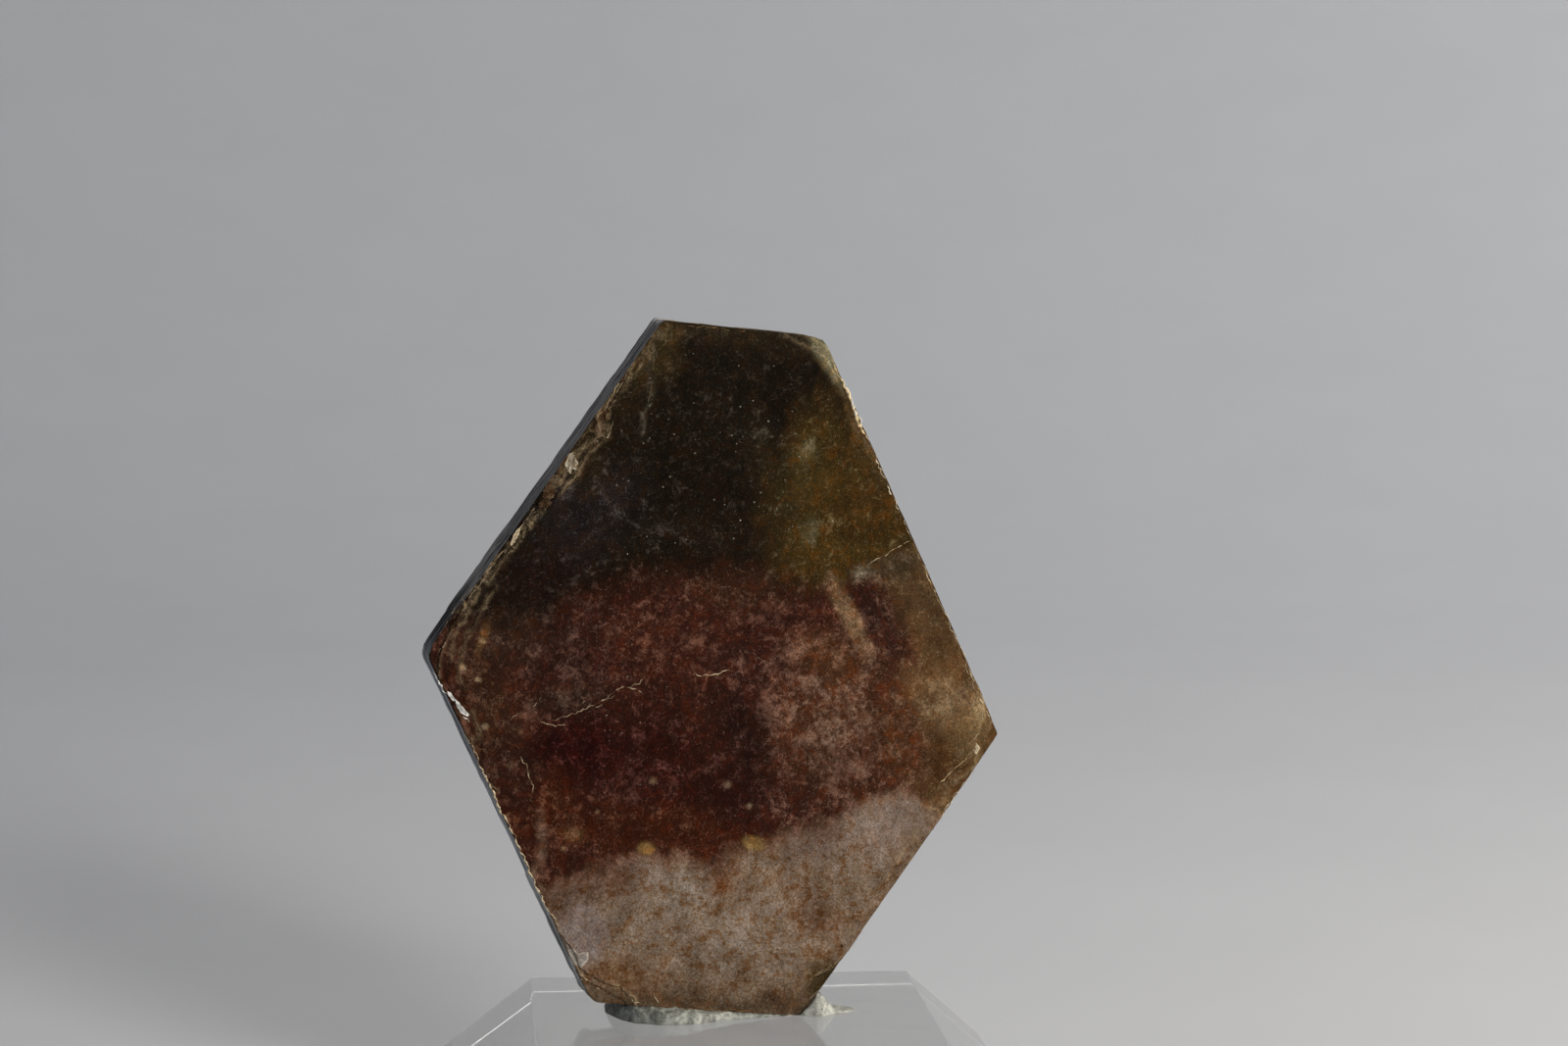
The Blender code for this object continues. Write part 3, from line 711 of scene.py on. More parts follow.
        "lilacLeft": (-10, -28, 2.3, 3, 10, 0.7, 0.95, (21, 15.5, 13.7), 1, (17, 14.5, 13.7)),
        "lilacMiddle": (-1.5, -22.6, 3.6, 2.2, 0, 0.8, 0.6, (22, 16.3, 12.3), 1, (19.1, 16.9, 14.9)),
        "rustBlob": (3.3, -21.5, 1.2, 1.5, 0, 0.8, 0.9, (12.3, 4.9, 1.86), 0.3, (15.8, 8.2, 4.3)),
        "rustAbove": (2.8, -19.2, 1.6, 1.6, 0, 0.8, 0.8, (6.7, 2.7, 1.63), 0.4, (13.1, 7.8, 5.9)),
        "peachMiddle": (7.5, -21.5, 3, 2.6, 0, 0.8, 0.6, (23, 14.7, 9.2), 1, (17.8, 13.8, 10.9)),
        "brownRight": (12.6, -24.2, 2.3, 2.6, 30, 0.8, 0.85, (13, 6.6, 3.6), 0.8, (13, 9, 6.5)),
        "greyShore": (13, -16.8, 4, 2, 25, 0.8, 0.7, (10.5, 6.2, 4.6), 0.85, (12, 8.8, 7.5)),
        "lilacRight": (19.6, -14.4, 3.6, 2.9, 30, 0.6, 0.9, (21, 14.5, 10.9), 1.1, (16.6, 13.2, 11.1)),
        "rightFlank": (20.6, -21, 1.3, 6, -30, 0.7, 0.7, (13.5, 7.8, 4.2), 0.8, (12.8, 9, 6.3)),
        "paleBelly": (2.5, -27.2, 8.5, 3, 0, 0.8, 0.5, (21, 15.3, 10.7), 1, (17, 14.2, 12.1)),
        "peachHeel": (-7.2, -32.4, 3.2, 1.5, -18, 0.7, 0.8, (18.6, 10.1, 5.3), 0.85, (14.5, 9.9, 6.3)),
        # amberRim is partly the amber tone of the thin bottom edge and partly painted light showing through
        # it
        "amberRim": (2, -34.9, 14, 1.8, 0, 0.5, 0.95, (7.2, 4.7, 2.8), 0.4, (11.3, 9, 6.2)),
        "amberDusk": (-1, -33, 4.5, 1, 0, 0.8, 0.45, (14, 8.8, 5), 0.55, (15.5, 11.2, 7.4)),
        "oliveFacet": (15.6, -31.8, 2.6, 2.6, 40, 0.5, 0.95, (4.2, 2.8, 0.9), 0.22, (11, 8.4, 4)),
        "oliveLow": (10.5, -33.4, 2.6, 1.6, 0, 0.8, 0.7, (7.1, 3.9, 2), 0.62, (11.6, 7.7, 4.9)),
        "darkSpeck": (16.2, -27.3, 0.2, 0.2, 0, 0.5, 0.9, (1.6, 1.2, 1.2), 0.05, (3, 2.4, 2.2)),
        "ochreBelly": (5.5, -30, 6.5, 2.2, 0, 0.8, 0.5, (16.5, 10.8, 6.6), 0.75, (15.2, 12.5, 10.2)),
        "heelRust": (-5.2, -31.9, 3.8, 1.5, -18, 0.8, 0.75, (12.1, 5.8, 2.5), 0.5, (13.8, 8.8, 5.1)),
    },
    "spots": {
        "amberLeft": (-4.7, -18.7, 0.8, 0.72, 0, 0.35, 0.95, (17.5, 10.1, 3.3), 0.55, (23, 14.5, 6)),
        "amberRight": (6.2, -17.4, 1.2, 0.78, -10, 0.35, 0.95, (18.5, 11.2, 3.8), 0.6, (25, 16.5, 7)),
        "amberSmall": (-12.2, -17.8, 1.1, 0.7, 0, 0.8, 0.8, (10.5, 4.8, 1.8), 0.4, (18, 10.5, 5)),
        "creamA": (-24.9, -1.7, 0.34, 0.3, 20, 0.4, 0.95, (24, 17, 10), 0.8, (33, 25, 16)),
        "creamB": (-23.3, -2.9, 0.32, 0.28, 0, 0.4, 0.95, (21, 14, 7.8), 0.8, (30, 21, 13)),
        "creamC": (-22.1, -7.6, 0.36, 0.3, 0, 0.4, 0.95, (23, 16.5, 10), 0.8, (32, 24, 16)),
        "creamD": (-4.6, -11.8, 0.36, 0.3, 0, 0.5, 0.8, (15, 9, 5), 0.7, (24, 16, 10)),
        "creamE": (2.9, -11.6, 0.38, 0.34, 0, 0.5, 0.8, (14, 8.5, 5.2), 0.7, (23, 15.5, 10.5)),
        "creamF": (5.4, -13.5, 0.28, 0.24, 0, 0.5, 0.8, (17, 11.5, 7), 0.8, (26, 19, 13)),
        "creamG": (-13.2, -19.3, 0.26, 0.24, 0, 0.5, 0.8, (19, 11, 5), 0.7, (27, 17.5, 9)),
        "creamH": (-10, -15.3, 0.26, 0.24, 0, 0.5, 0.7, (13, 7, 4), 0.7, (22, 14, 9.5)),
        "streakDownA": (-15.5, -18.6, 0.5, 2.8, 5, 0.8, 0.7, (7.6, 4.1, 2.5), 0.7, (15.5, 10.2, 7.4)),
        "streakDownB": (-15.9, -22.2, 0.4, 2.4, -8, 0.8, 0.6, (7.2, 4.2, 2.7), 0.6, (14.8, 9.9, 7.4)),
    },
    "filmPlaces": {
        "upperStrip": (-11, 28, 0.9, 7, -30, 0.5, 0.42),
        "upperLoop": (-12.9, 24.2, 0.75, 2.2, -10, 0.5, 0.62),
        "stripMiddle": (-16.3, 19.4, 0.9, 2.2, -30, 0.5, 0.66),
        "stripTan": (-17.9, 16.6, 0.9, 2.8, -30, 0.5, 0.62),
        "stripLow": (-20.8, 11.6, 0.7, 3.6, -30, 0.5, 0.3),
        "leftCorner": (-25.9, 2.4, 1.1, 3.6, -28, 0.6, 0.15),
        "leftPoint": (-26.6, -2.2, 0.9, 3, 12, 0.6, 0.24),
        "leftLow": (-23.4, -7.8, 1, 3.4, 28, 0.6, 0.38),
        "lowerEdge": (-17.2, -19.6, 0.5, 9.5, 30, 0.6, 0.46),
        "heel": (-10.8, -30.2, 1.3, 3, 30, 0.6, 0.55),
        "heelFloor": (-6.5, -34, 4.5, 0.8, -8, 0.6, 0.5),
        "bottomEdge": (3, -34.8, 9, 0.4, 0, 0.6, 0.5),
        "topRight": (8.6, 33.2, 2.6, 0.8, -40, 0.6, 0.2),
        "rightBrow": (13.2, 26.2, 0.55, 8, 30, 0.6, 0.56),
        "cornerRight": (28, -0.8, 1.4, 4.2, 30, 0.6, 0.42),
        "cornerLow": (27.2, -7.4, 0.9, 5, -32, 0.6, 0.5),
        "flankLow": (21.6, -19.8, 0.4, 9, -30, 0.6, 0.46),
    },
    "calmPlaces": {
        "bottomRim": (2, -35.3, 15, 2, 0, 0.4, 0.85),
        "lilacLeft": (-10, -28, 2.6, 3.2, 10, 0.6, 0.6),
        "lilacRight": (20.4, -14.2, 3.6, 3.2, 30, 0.6, 0.6),
    },
    "dustPlaces": {
        "crownDust": (-2, 21, 10.5, 11, 0, 0.6, 1),
        "beltDust": (-3, 6.5, 9, 3, 0, 0.7, 0.5),
        "footDust": (-1, -28, 9, 5, 0, 0.7, 0.4),
        "beltDustLow": (-8, -6, 9, 7.5, 0, 0.6, 0.6),
        "oliveDust": (9, 20, 5, 9, 10, 0.7, 0.7),
    },
}


def placeMask(px, pz, place):
    x, z, halfX, halfZ, turn, softness, strength = place[:7]
    c, s = facing(turn)
    dx, dz = px - x, pz - z
    u, v = (dx * c + dz * s) / halfX, (dz * c - dx * s) / halfZ
    return strength * (1 - ease(1 - softness, 1 + softness, np.sqrt(u * u + v * v)))


def colourFace(points):
    x, z, depth = points[:, 0], points[:, 2], points[:, 1]
    # ragged borders: every place is looked up at a shifted spot
    slide = 0.4 * depth
    wx = x + 1.1 * roughNoise(x + slide, z, 5.0, 101, 4) + 0.35 * roughNoise(x, z, 1.1, 105, 3)
    wz = z + 1.1 * roughNoise(x, z + slide, 5.0, 111, 4) + 0.5 * roughNoise(x * 2.2, z * 0.7, 1.4, 115, 3)
    fringe = 0.8 * roughNoise(x * 1.8, z * 0.6, 1.6, 131, 4)
    laid = [np.tile(np.array(value, float), (len(x), 1)) for value in mica["belt"]]

    def lay(mask, colour):
        m = mask[:, None]
        laid[:] = [old * (1 - m) + np.array(new, float) * m for old, new in zip(laid, colour)]

    def layPlaces(name, within=1.0, px=wx, pz=wz):
        for place in mica[name].values():
            lay(within * placeMask(px, pz, place), place[7:])

    def layZone(mask, zone, places):
        lay(mask, mica[zone])
        layPlaces(places, mask)

    def border(name, along):
        return np.interp(along, *np.array(mica[name]).T)

    def share(name):
        return np.max([placeMask(wx, wz, place) for place in mica[name].values()], axis=0)

    layPlaces("beltPlaces")
    inCrown = ease(-2.6, 2.4, wz - border("crownBorder", wx) + 1.1 * fringe)
    layZone(inCrown, "crown", "crownPlaces")
    inOlive = inCrown * ease(-3.0, 3.2, wx - border("oliveBorder", wz) + 1.2 * fringe)
    layZone(inOlive, "olive", "olivePlaces")
    inRight = ease(-2.2, 2.0, wx - border("rightBorder", wz) + fringe)
    inRight = inRight * (1 - ease(13, 15, wz - (wx - 17) * 0.72))
    layZone(inRight, "rightSide", "rightPlaces")
    layPlaces("streak", 1.0, 0.5 * (x + wx), 0.5 * (z + wz))
    inFoot = ease(-1.5, 1.7, border("footBorder", wx) - wz + 1.3 * fringe)
    layZone(inFoot, "foot", "footPlaces")
    layPlaces("spots", 1.0, x + 0.25 * (wx - x), z + 0.25 * (wz - z))
    ground, milk, tone = laid

    cloud = 0.26 * roughNoise(x, z + slide, 2.8, 141, 4) + 0.12 * roughNoise(x * 1.6, z * 0.7, 1.8, 147, 3)
    cloud = percent * (1 + cloud * (1 - 0.35 * np.maximum(inFoot, inRight)))[:, None]
    milk = milk[:, 0] + 0.20 * roughNoise(x + slide, z, 2.2, 151, 4) + 0.12 * roughNoise(x, z, 7.0, 157, 2)
    milk = np.clip(milk * mica["milkShare"], 0.02, 0.98)
    mottled = np.maximum(inFoot, 0.55 * inRight) * (1 - share("calmPlaces"))
    signs = np.stack([share("filmPlaces"), mottled, share("dustPlaces")], 1)
    return ground * cloud * mica["groundGain"], tone * cloud * mica["toneGain"], milk, signs


# the sheets' edges: their own slate tint on the left and brown on the other sides; the near-black band at the
# left corner is painted shade, and the paler, bluer sheets below it are a painted reflection of the pale
# backdrop
sides = {
    # leftHigh is the slate tint; leftCorner is painted shade; leftLow and leftFoot are painted reflection
    "leftHigh": (2.55, 2.5, 2.5),
    "leftCorner": (0.26, 0.26, 0.28),
    "leftLow": (2.9, 3.1, 3.4),
    "leftFoot": (4.6, 4.8, 4.9),
    "brown": (1.25, 0.95, 0.62),
    # fine lines: place on the ramp, tone
    "lines": ((0.41, (0.016, 0.0155, 0.016)), (0.5, (0.066, 0.066, 0.068)), (0.62, (0.150, 0.146, 0.142))),
    "squeeze": ((5200, 2.0), (1500, 3.0)),     # how tight the lines lie through the thickness, detail
    "roughness": (0.42, 0.70),
    "specular": 0.16,
    "bump": (0.5, 0.03),
}


def colourSides(points):
    x, z = points[:, 0], points[:, 2]
    high, corner, low, foot, brown = [np.array(sides[name]) for name in
                                      ("leftHigh", "leftCorner", "leftLow", "leftFoot", "brown")]

    def blend(first, second, mask):
        return first * (1 - mask[:, None]) + second * mask[:, None]

    # painted shade at the left corner and painted reflection on the lower-left sheets, blended in by height
    slate = blend(blend(high, corner, ease(8, 2.5, z) * ease(-2, 0.5, z)),
                  blend(low, foot, ease(-20, -27, z)), ease(1.5, -2.5, z))
    streaks = 1 + 0.35 * roughNoise(x * 0.8 + z, points[:, 1] * 2.5, 2.4, 501, 3)
    return blend(brown, slate, ease(2, -2, x + 0.18 * z)) * streaks[:, None]


def paintMica():
    material, tree = newMaterial("mica_cleavage_face")
    calc, mix, ranged = [partial(tool, tree) for tool in (addMath, addMix, addRange)]
    times = partial(calc, "MULTIPLY")
    spot = crystalSpot(tree)
    grain = {name: addNoise(tree, spot, *values) for name, values in mica["grain"].items()}
    ground, tone, signs = [addStored(tree, name) for name in ("ground", "tone", "signs")]
    film, foot, dusty = addNode(tree, "SeparateColor", {"Color": signs["Color"]}).values()

    field = calc("MULTIPLY_ADD", grain["cloud"], 0.42,
                 calc("MULTIPLY_ADD", grain["puffs"], 0.36, times(grain["thread"], 0.22)))
    # the more milk, the lower the level that the field has to pass
    above = calc("SUBTRACT", field, calc("MULTIPLY_ADD", ground["Alpha"], -0.26, 0.63))
    flecks = mix(ranged(ground["Alpha"], 0.24, 0.38), ranged(above, -0.07, 0.14), ranged(above, -0.11, 0.17))
    rusty = times(ranged(grain["rust"], 0.46, 0.64), calc("MULTIPLY_ADD", foot, -1.4, 1.0, clamp=True))
    body = mix(rusty, ground["Color"], mix(1.0, ground["Color"], mica["rustGain"], "MULTIPLY"))
    body = mix(flecks, body, tone["Color"])
    # ochre mottles with ragged borders and curled white veins on the foot
    veins = calc("ABSOLUTE", calc("SUBTRACT", grain["veins"], 0.5))
    shares = (ranged(grain["patches"], 0.51, 0.575, 0.0, 0.9), ranged(veins, 0.035, 0.0, 0.0, 0.9),
              ranged(grain["chips"], 0.52, 0.57, 0.0, 0.9))
    for share, tint in zip(shares, mica["mottleTones"]):
        body = mix(times(share, foot), body, mix(1.0, body, tint, "MULTIPLY"))
    # pale hairs, crowded where the milk is
    hairs = times(ranged(grain["hairs"], 0.56, 0.70), ranged(grain["puffs"], 0.44, 0.62, 0.2, 0.85))
    body = mix(hairs, body, mix(1.0, tone["Color"], mica["hairGain"], "MULTIPLY"))
    fine = ranged(grain["fine"], 0.3, 0.7, 0.48, 1.62, "LINEAR")
    shade = ranged(grain["shade"], 0.3, 0.7, 0.74, 1.28, "LINEAR")
    body = mix(1.0, body, times(fine, shade), "MULTIPLY")

    # dust: one tiny dot in a cell, its size and brightness by chance
    dust = addNode(tree, "TexVoronoi", {"Vector": spot, "Scale": mica["dustScale"]})
    chance = addNode(tree, "SeparateColor", {"Color": dust["Color"]})
    reach = times(calc("POWER", chance["Red"], 2.5), calc("MULTIPLY_ADD", dusty, 0.125, 0.055))
    dot = times(calc("LESS_THAN", dust["Distance"], reach), calc("MULTIPLY_ADD", chance["Green"], 0.85, 0.15))
    body = mix(dot, body, mica["speck"])

    # ragged films of broken sheets along the edges, paler at their own borders
    ragged = calc("MULTIPLY_ADD", grain["films"], 1.5, calc("ADD", film, -1.25))
    filmShare = times(ranged(ragged, -0.04, 0.10, 0.0, 0.9), ranged(grain["curls"], 0.36, 0.58, 0.3, 1.0))
    body = mix(filmShare, body, mix(ranged(grain["puffs"], 0.42, 0.58), mica["filmRust"], mica["filmTone"]))
    border = times(ranged(ragged, -0.035, 0.0), ranged(ragged, 0.07, 0.01))
    border = times(times(border, ranged(film, 0.12, 0.3, 0.0, 0.5)), ranged(grain["curls"], 0.42, 0.58))
    body = mix(border, body, mica["filmEdge"])
    rim = times(signs["Alpha"], ranged(grain["curls"], 0.36, 0.56), clamp=True)
    body = mix(rim, body, mica["rimTone"])
    gloss = ranged(grain["curls"], 0.3, 0.7, *mica["roughness"], "LINEAR")
    finishMaterial(tree, {"Base Color": body, "Roughness": gloss}, mica, field)
    return material


def paintSheetEdges():
    # fine lines along the sheets: stretched noise, squeezed through the thickness
    material, tree = newMaterial("mica_sheet_edges")
    spot = crystalSpot(tree)
    lines = [addNoise(tree, spot, 1.0, detail, 0.55, 0.0, (60, squeeze, 60))
             for squeeze, detail in sides["squeeze"]]
    both = addMath(tree, "MULTIPLY_ADD", lines[0], 0.5, addMath(tree, "MULTIPLY", lines[1], 0.5))
    rampColour = addNode(tree, "ValToRGB", {"Fac": both})["Color"]
    ramp = rampColour.node.color_ramp
    ramp.elements.new(0.5)
    for element, (place, tone) in zip(ramp.elements, sides["lines"]):
        element.position = place
        element.color = (*tone, 1)
    colour = addMix(tree, 1.0, rampColour, addStored(tree, "sides")["Color"], "MULTIPLY")
    gloss = addRange(tree, lines[1], 0.3, 0.7, *sides["roughness"], "LINEAR")
    finishMaterial(tree, {"Base Color": colour, "Roughness": gloss}, sides, both)
    return material


def makeCrystal():
    vertices, faces, slots, rims = buildCrystalForm()
    made = meshPiece("micaCrystal", toStand(vertices), faces, paintMica(), False)
    made.data.materials.append(paintSheetEdges())
    made.data.polygons.foreach_set("material_index", slots)
    made.data.update()
    ground, tone, milk, signs = colourFace(vertices)
    addTone(made, "ground", ground, milk)
    addTone(made, "tone", tone)
    addTone(made, "signs", signs, rims)
    addTone(made, "sides", colourSides(vertices))
    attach(made, "root")
    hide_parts("mica_crystal")
    print("crystal:", len(vertices), "points", len(faces), "faces")


# crack lips, loose flakes and edge gleams lying on the crystal's face

scraps = {
    "roughness": 0.38,
    "specular": 0.5,
    "bump": (0.5, 0.02),
    "colours": {
        "tan": (0.5, 0.4, 0.25), "tanDim": (0.3, 0.225, 0.145), "cream": (0.68, 0.6, 0.43),
        "white": (0.92, 0.91, 0.86), "chalk": (0.5, 0.49, 0.46), "gold": (0.85, 0.66, 0.36),
        "amber": (0.2, 0.115, 0.045), "pearl": (0.235, 0.185, 0.11), "olive": (0.2, 0.15, 0.07),
        "grey": (0.2, 0.18, 0.15), "veil": (0.34, 0.3, 0.255),
    },
    # greatest width and height (mm), colour, share of it that is broken away, line
    "lips": {
        "middleCrack": (0.22, 0.07, "tanDim", 0.42, [(-16.3, -6.3), (-14.4, -6.2), (-12.9, -5.3),
            (-11.4, -4.5), (-9.9, -3.4), (-8.8, -2.6), (-6.9, -2), (-5.8, -0.9)]),
        "middleCrackLow": (0.16, 0.05, "tanDim", 0.5, [(-12.4, -5.6), (-10.4, -4.2), (-9, -3.3)]),
        "middleCrumbs": (0.42, 0.1, "tanDim", 0.35, [(-12.6, -4.5), (-11.9, -4), (-11.2, -3.9)]),
        "middleFork": (0.2, 0.06, "tanDim", 0.35, [(-8.9, -2.7), (-7.4, -2.5), (-6.4, -2.9)]),
        "leftBranch": (0.16, 0.05, "tanDim", 0.45, [(-19.8, -6.8), (-18.9, -6.1), (-17.6, -5.2),
            (-16.6, -4)]),
        "leftThread": (0.14, 0.05, "tan", 0.4, [(-16.8, -6.6), (-15, -7), (-13.6, -6.6)]),
        "centreCrack": (0.17, 0.06, "tan", 0.2, [(-1.9, 0), (-0.9, -0.7), (0.5, -0.4), (2.4, 0.1)]),
        "centreHair": (0.12, 0.05, "grey", 0.3, [(3.1, 1.8), (4.2, 2.1), (5.3, 1.4), (5.9, 0.4)]),
        "downCrack": (0.15, 0.06, "tan", 0.28, [(-18.9, -9.1), (-18.3, -10.6), (-17.5, -11.3),
            (-17.2, -12.3), (-16.7, -13.1), (-16.9, -14.6), (-16.6, -16)]),
        "stepLine": (0.13, 0.06, "tan", 0.15, [(14.7, 11.7), (17.2, 13.3), (19.6, 15)]),
        "stepTail": (0.12, 0.05, "olive", 0.3, [(14.7, 11.7), (14.5, 10.4), (15.3, 9.4)]),
        "footTick": (0.12, 0.05, "cream", 0.1, [(-4.95, -33.6), (-4.5, -34.55), (-3.7, -34.7)]),
        "footTickRight": (0.13, 0.05, "cream", 0.15, [(-2.5, -33.5), (-2.15, -34.1), (-1.8, -34.65)]),
        "heelCrack": (0.11, 0.04, "tanDim", 0.5, [(-11.9, -29.3), (-11, -30.9), (-10.2, -31.7),
            (-9.2, -32.6), (-8.6, -33.4), (-7.8, -33.8), (-6, -33.7), (-4.6, -33.9)]),
        "footArc": (0.09, 0.03, "grey", 0.2, [(0.8, -31.6), (2.2, -30.7), (3.4, -29.4)]),
        "cornerCurve": (0.2, 0.05, "tanDim", 0.42, [(-23.8, 5.9), (-24.9, 4.9), (-26, 3.4), (-26.7, 1.6),
            (-27.2, -0.1), (-27.4, -1.7)]),
        "cornerCurveInner": (0.14, 0.04, "tanDim", 0.5, [(-23.6, 5.2), (-24.6, 4.4), (-25.4, 3.2),
            (-26, 1.4), (-26.3, -0.8)]),
        "cornerGlint": (0.16, 0.1, "white", 0.05, [(-27.8, -2.4), (-27.5, -3), (-26.7, -4.1),
            (-26.1, -4.8)]),
        # painted glint: a white line at the low end of the corner splinter
        "cornerSplinterGlint": (0.14, 0.06, "white", 0.2, [(-24.4, -6.7), (-23.9, -6.9), (-23.7, -7.4)]),
        # painted highlight: a tan line where the lower-left front edge catches the light
        "leftEdgeHighlight": (0.26, 0.06, "tan", 0.15, [(-24.2, -8.1), (-20.75, -14), (-17.3, -20), (-13.85, -26),
            (-11.9, -29.3)]),
        # painted highlights: gold and white lines where the upper-right rim catches the light, fainter cream
        # and tan lines on down the right-hand rim
        "rightRimHigh": (0.4, 0.2, "gold", 0.05, [(9.6, 32.2), (10.4, 30.8), (12.5, 27), (14, 24.4)]),
        "rightRimWhite": (0.3, 0.24, "white", 0.15, [(11.2, 29.4), (12.1, 27.9), (12.8, 26.6),
            (13.5, 25.4)]),
        "rightRimLow": (0.22, 0.08, "cream", 0.3, [(14, 24.4), (16.6, 19.9), (19.5, 14.9)]),
        "rightRimTail": (0.18, 0.06, "tan", 0.2, [(19.6, 14.8), (23.5, 8), (27, 2), (29.2, -1.9)]),
        "cornerLayerA": (0.2, 0.06, "tan", 0.35, [(26.1, 3.1), (27, 1.5), (28.4, -1), (29.6, -2.9),
            (30.1, -3.9)]),
        "cornerLayerB": (0.16, 0.06, "gold", 0.3, [(28.1, -5.9), (27.4, -7.2), (25.8, -8.8),
            (24.4, -10.3)]),
        "rightFoot": (0.16, 0.05, "olive", 0.3, [(28, -8.8), (26.1, -12.1), (23.8, -16.1), (20.4, -22)]),
        "facetTop": (0.12, 0.05, "tanDim", 0.3, [(18, -26.6), (16.6, -28.6), (15, -30), (13.4, -31.2),
            (12.6, -32.4)]),
        "facetSheetA": (0.13, 0.05, "tanDim", 0.3, [(15, -31.4), (13.6, -33.4), (12.6, -34.4)]),
        "facetSheetB": (0.12, 0.05, "tanDim", 0.3, [(14.6, -32.8), (13.6, -34.2), (13, -34.7)]),
        # painted light: amber lines along the top and bottom front edges, where light shows through the thin
        # edge
        "topEdge": (0.14, 0.05, "amber", 0.3, [(-7.2, 34.45), (-2, 34.5), (3.5, 34.5)]),
        "bottomEdge": (0.16, 0.05, "amber", 0.15, [(-3, -34.85), (4, -34.85), (12, -34.8)]),
        "upperLoop": (0.15, 0.05, "tanDim", 0.35, [(-10.2, 30.3), (-11.7, 27.7), (-13.1, 25.6),
            (-13.7, 24.2), (-13.2, 22.6), (-12.6, 22.5), (-12.3, 23.6), (-12.1, 25.2)]),
        "stripLine": (0.2, 0.05, "tanDim", 0.42, [(-18.9, 14.6), (-19.8, 13.4), (-20.8, 11.6),
            (-21.7, 9.6), (-22.6, 7.4)]),
        "cornerCurveThird": (0.12, 0.04, "tanDim", 0.45, [(-24.2, 6.6), (-25.4, 5.2), (-26.6, 3.2),
            (-27.5, 1.2)]),
        "cornerLayerC": (0.15, 0.06, "tan", 0.25, [(28.2, -0.9), (28.7, -2.6), (28.6, -4.4),
            (27.6, -5.6)]),
        "cornerPaleEdge": (0.16, 0.06, "cream", 0.2, [(28.5, -8.3), (27.5, -9.9), (25.9, -12.6),
            (24.4, -15.2)]),
        "heelGlint": (0.13, 0.06, "chalk", 0.2, [(-12, -29), (-11.5, -29.9), (-11.1, -30.8),
            (-10.8, -31.4)]),
        "heelGlintLow": (0.15, 0.07, "cream", 0.1, [(-10.2, -32), (-9.8, -32.5), (-9.3, -32.9)]),
        "highEdge": (0.3, 0.05, "tanDim", 0.3, [(-25.4, 4), (-23.2, 8), (-20.9, 12), (-18.7, 15.9)]),
        "highEdgeTop": (0.2, 0.04, "olive", 0.3, [(-16.3, 20), (-14, 24), (-11.8, 28), (-10.1, 31)]),
        "heelCrumbs": (0.2, 0.08, "gold", 0.62, [(-10.4, -31.5), (-9.6, -32.2), (-8.8, -33), (-8, -33.6),
            (-6.5, -33.8), (-4.8, -33.9)]),
        "creaseLong": (0.1, 0.04, "olive", 0.35, [(-8.8, 32.9), (-8.6, 29.9), (-8.8, 26.9),
            (-9.7, 23.4)]),
    },
    # lift (mm), colour, outline
    "flakes": {
        "pearlChip": (0.14, "pearl", [(-16.6, 19.4), (-16.3, 20.5), (-15.9, 20.7), (-15.5, 20),
            (-15.2, 19.7), (-15.4, 19.4), (-15.3, 19), (-15.8, 19), (-15.9, 18.5), (-16.3, 18.8)]),
        "stripChip": (0.1, "tan", [(-21.3, 11), (-20.9, 12.3), (-20.3, 13), (-20.5, 12), (-21.1, 10.8)]),
        "heelFlake": (0.16, "veil", [(-11.6, -29.9), (-11.2, -29.5), (-10.5, -30), (-9.6, -29.7),
            (-9.5, -30.6), (-10.1, -31.4), (-10.7, -31.2), (-11, -30.8)]),
        # a loose splinter at the left corner, its chalky white partly a painted glint; the white flake beside
        # it is a painted glint
        "splinter": (0.16, "chalk", [(-25.3, -5.1), (-24.9, -5.4), (-23.8, -6.5), (-24, -6.75),
            (-24.7, -6.4), (-25.3, -5.5)]),
        "splinterGlint": (0.12, "white", [(-26.2, -4.3), (-25.8, -4.5), (-25.2, -5.2), (-25.5, -5.3),
            (-26, -4.8)]),
        "cornerCrumb": (0.1, "tan", [(28.4, -5.4), (28.9, -5.9), (28.5, -6.6), (28.1, -6.1)]),
    },
}


def walkAlong(line, spacing, least, closed=False):
    # evenly spaced points along a line, with how far along it each lies and the whole length
    line = np.array(line + line[:1] if closed else line, float)
    lengths = np.concatenate([[0], np.cumsum(np.linalg.norm(np.diff(line, axis=0), axis=1))])
    walked = np.linspace(0, lengths[-1], max(int(lengths[-1] / spacing), least), endpoint=not closed)
    return np.stack([np.interp(walked, lengths, line[:, k]) for k in (0, 1)], 1), walked, lengths[-1]


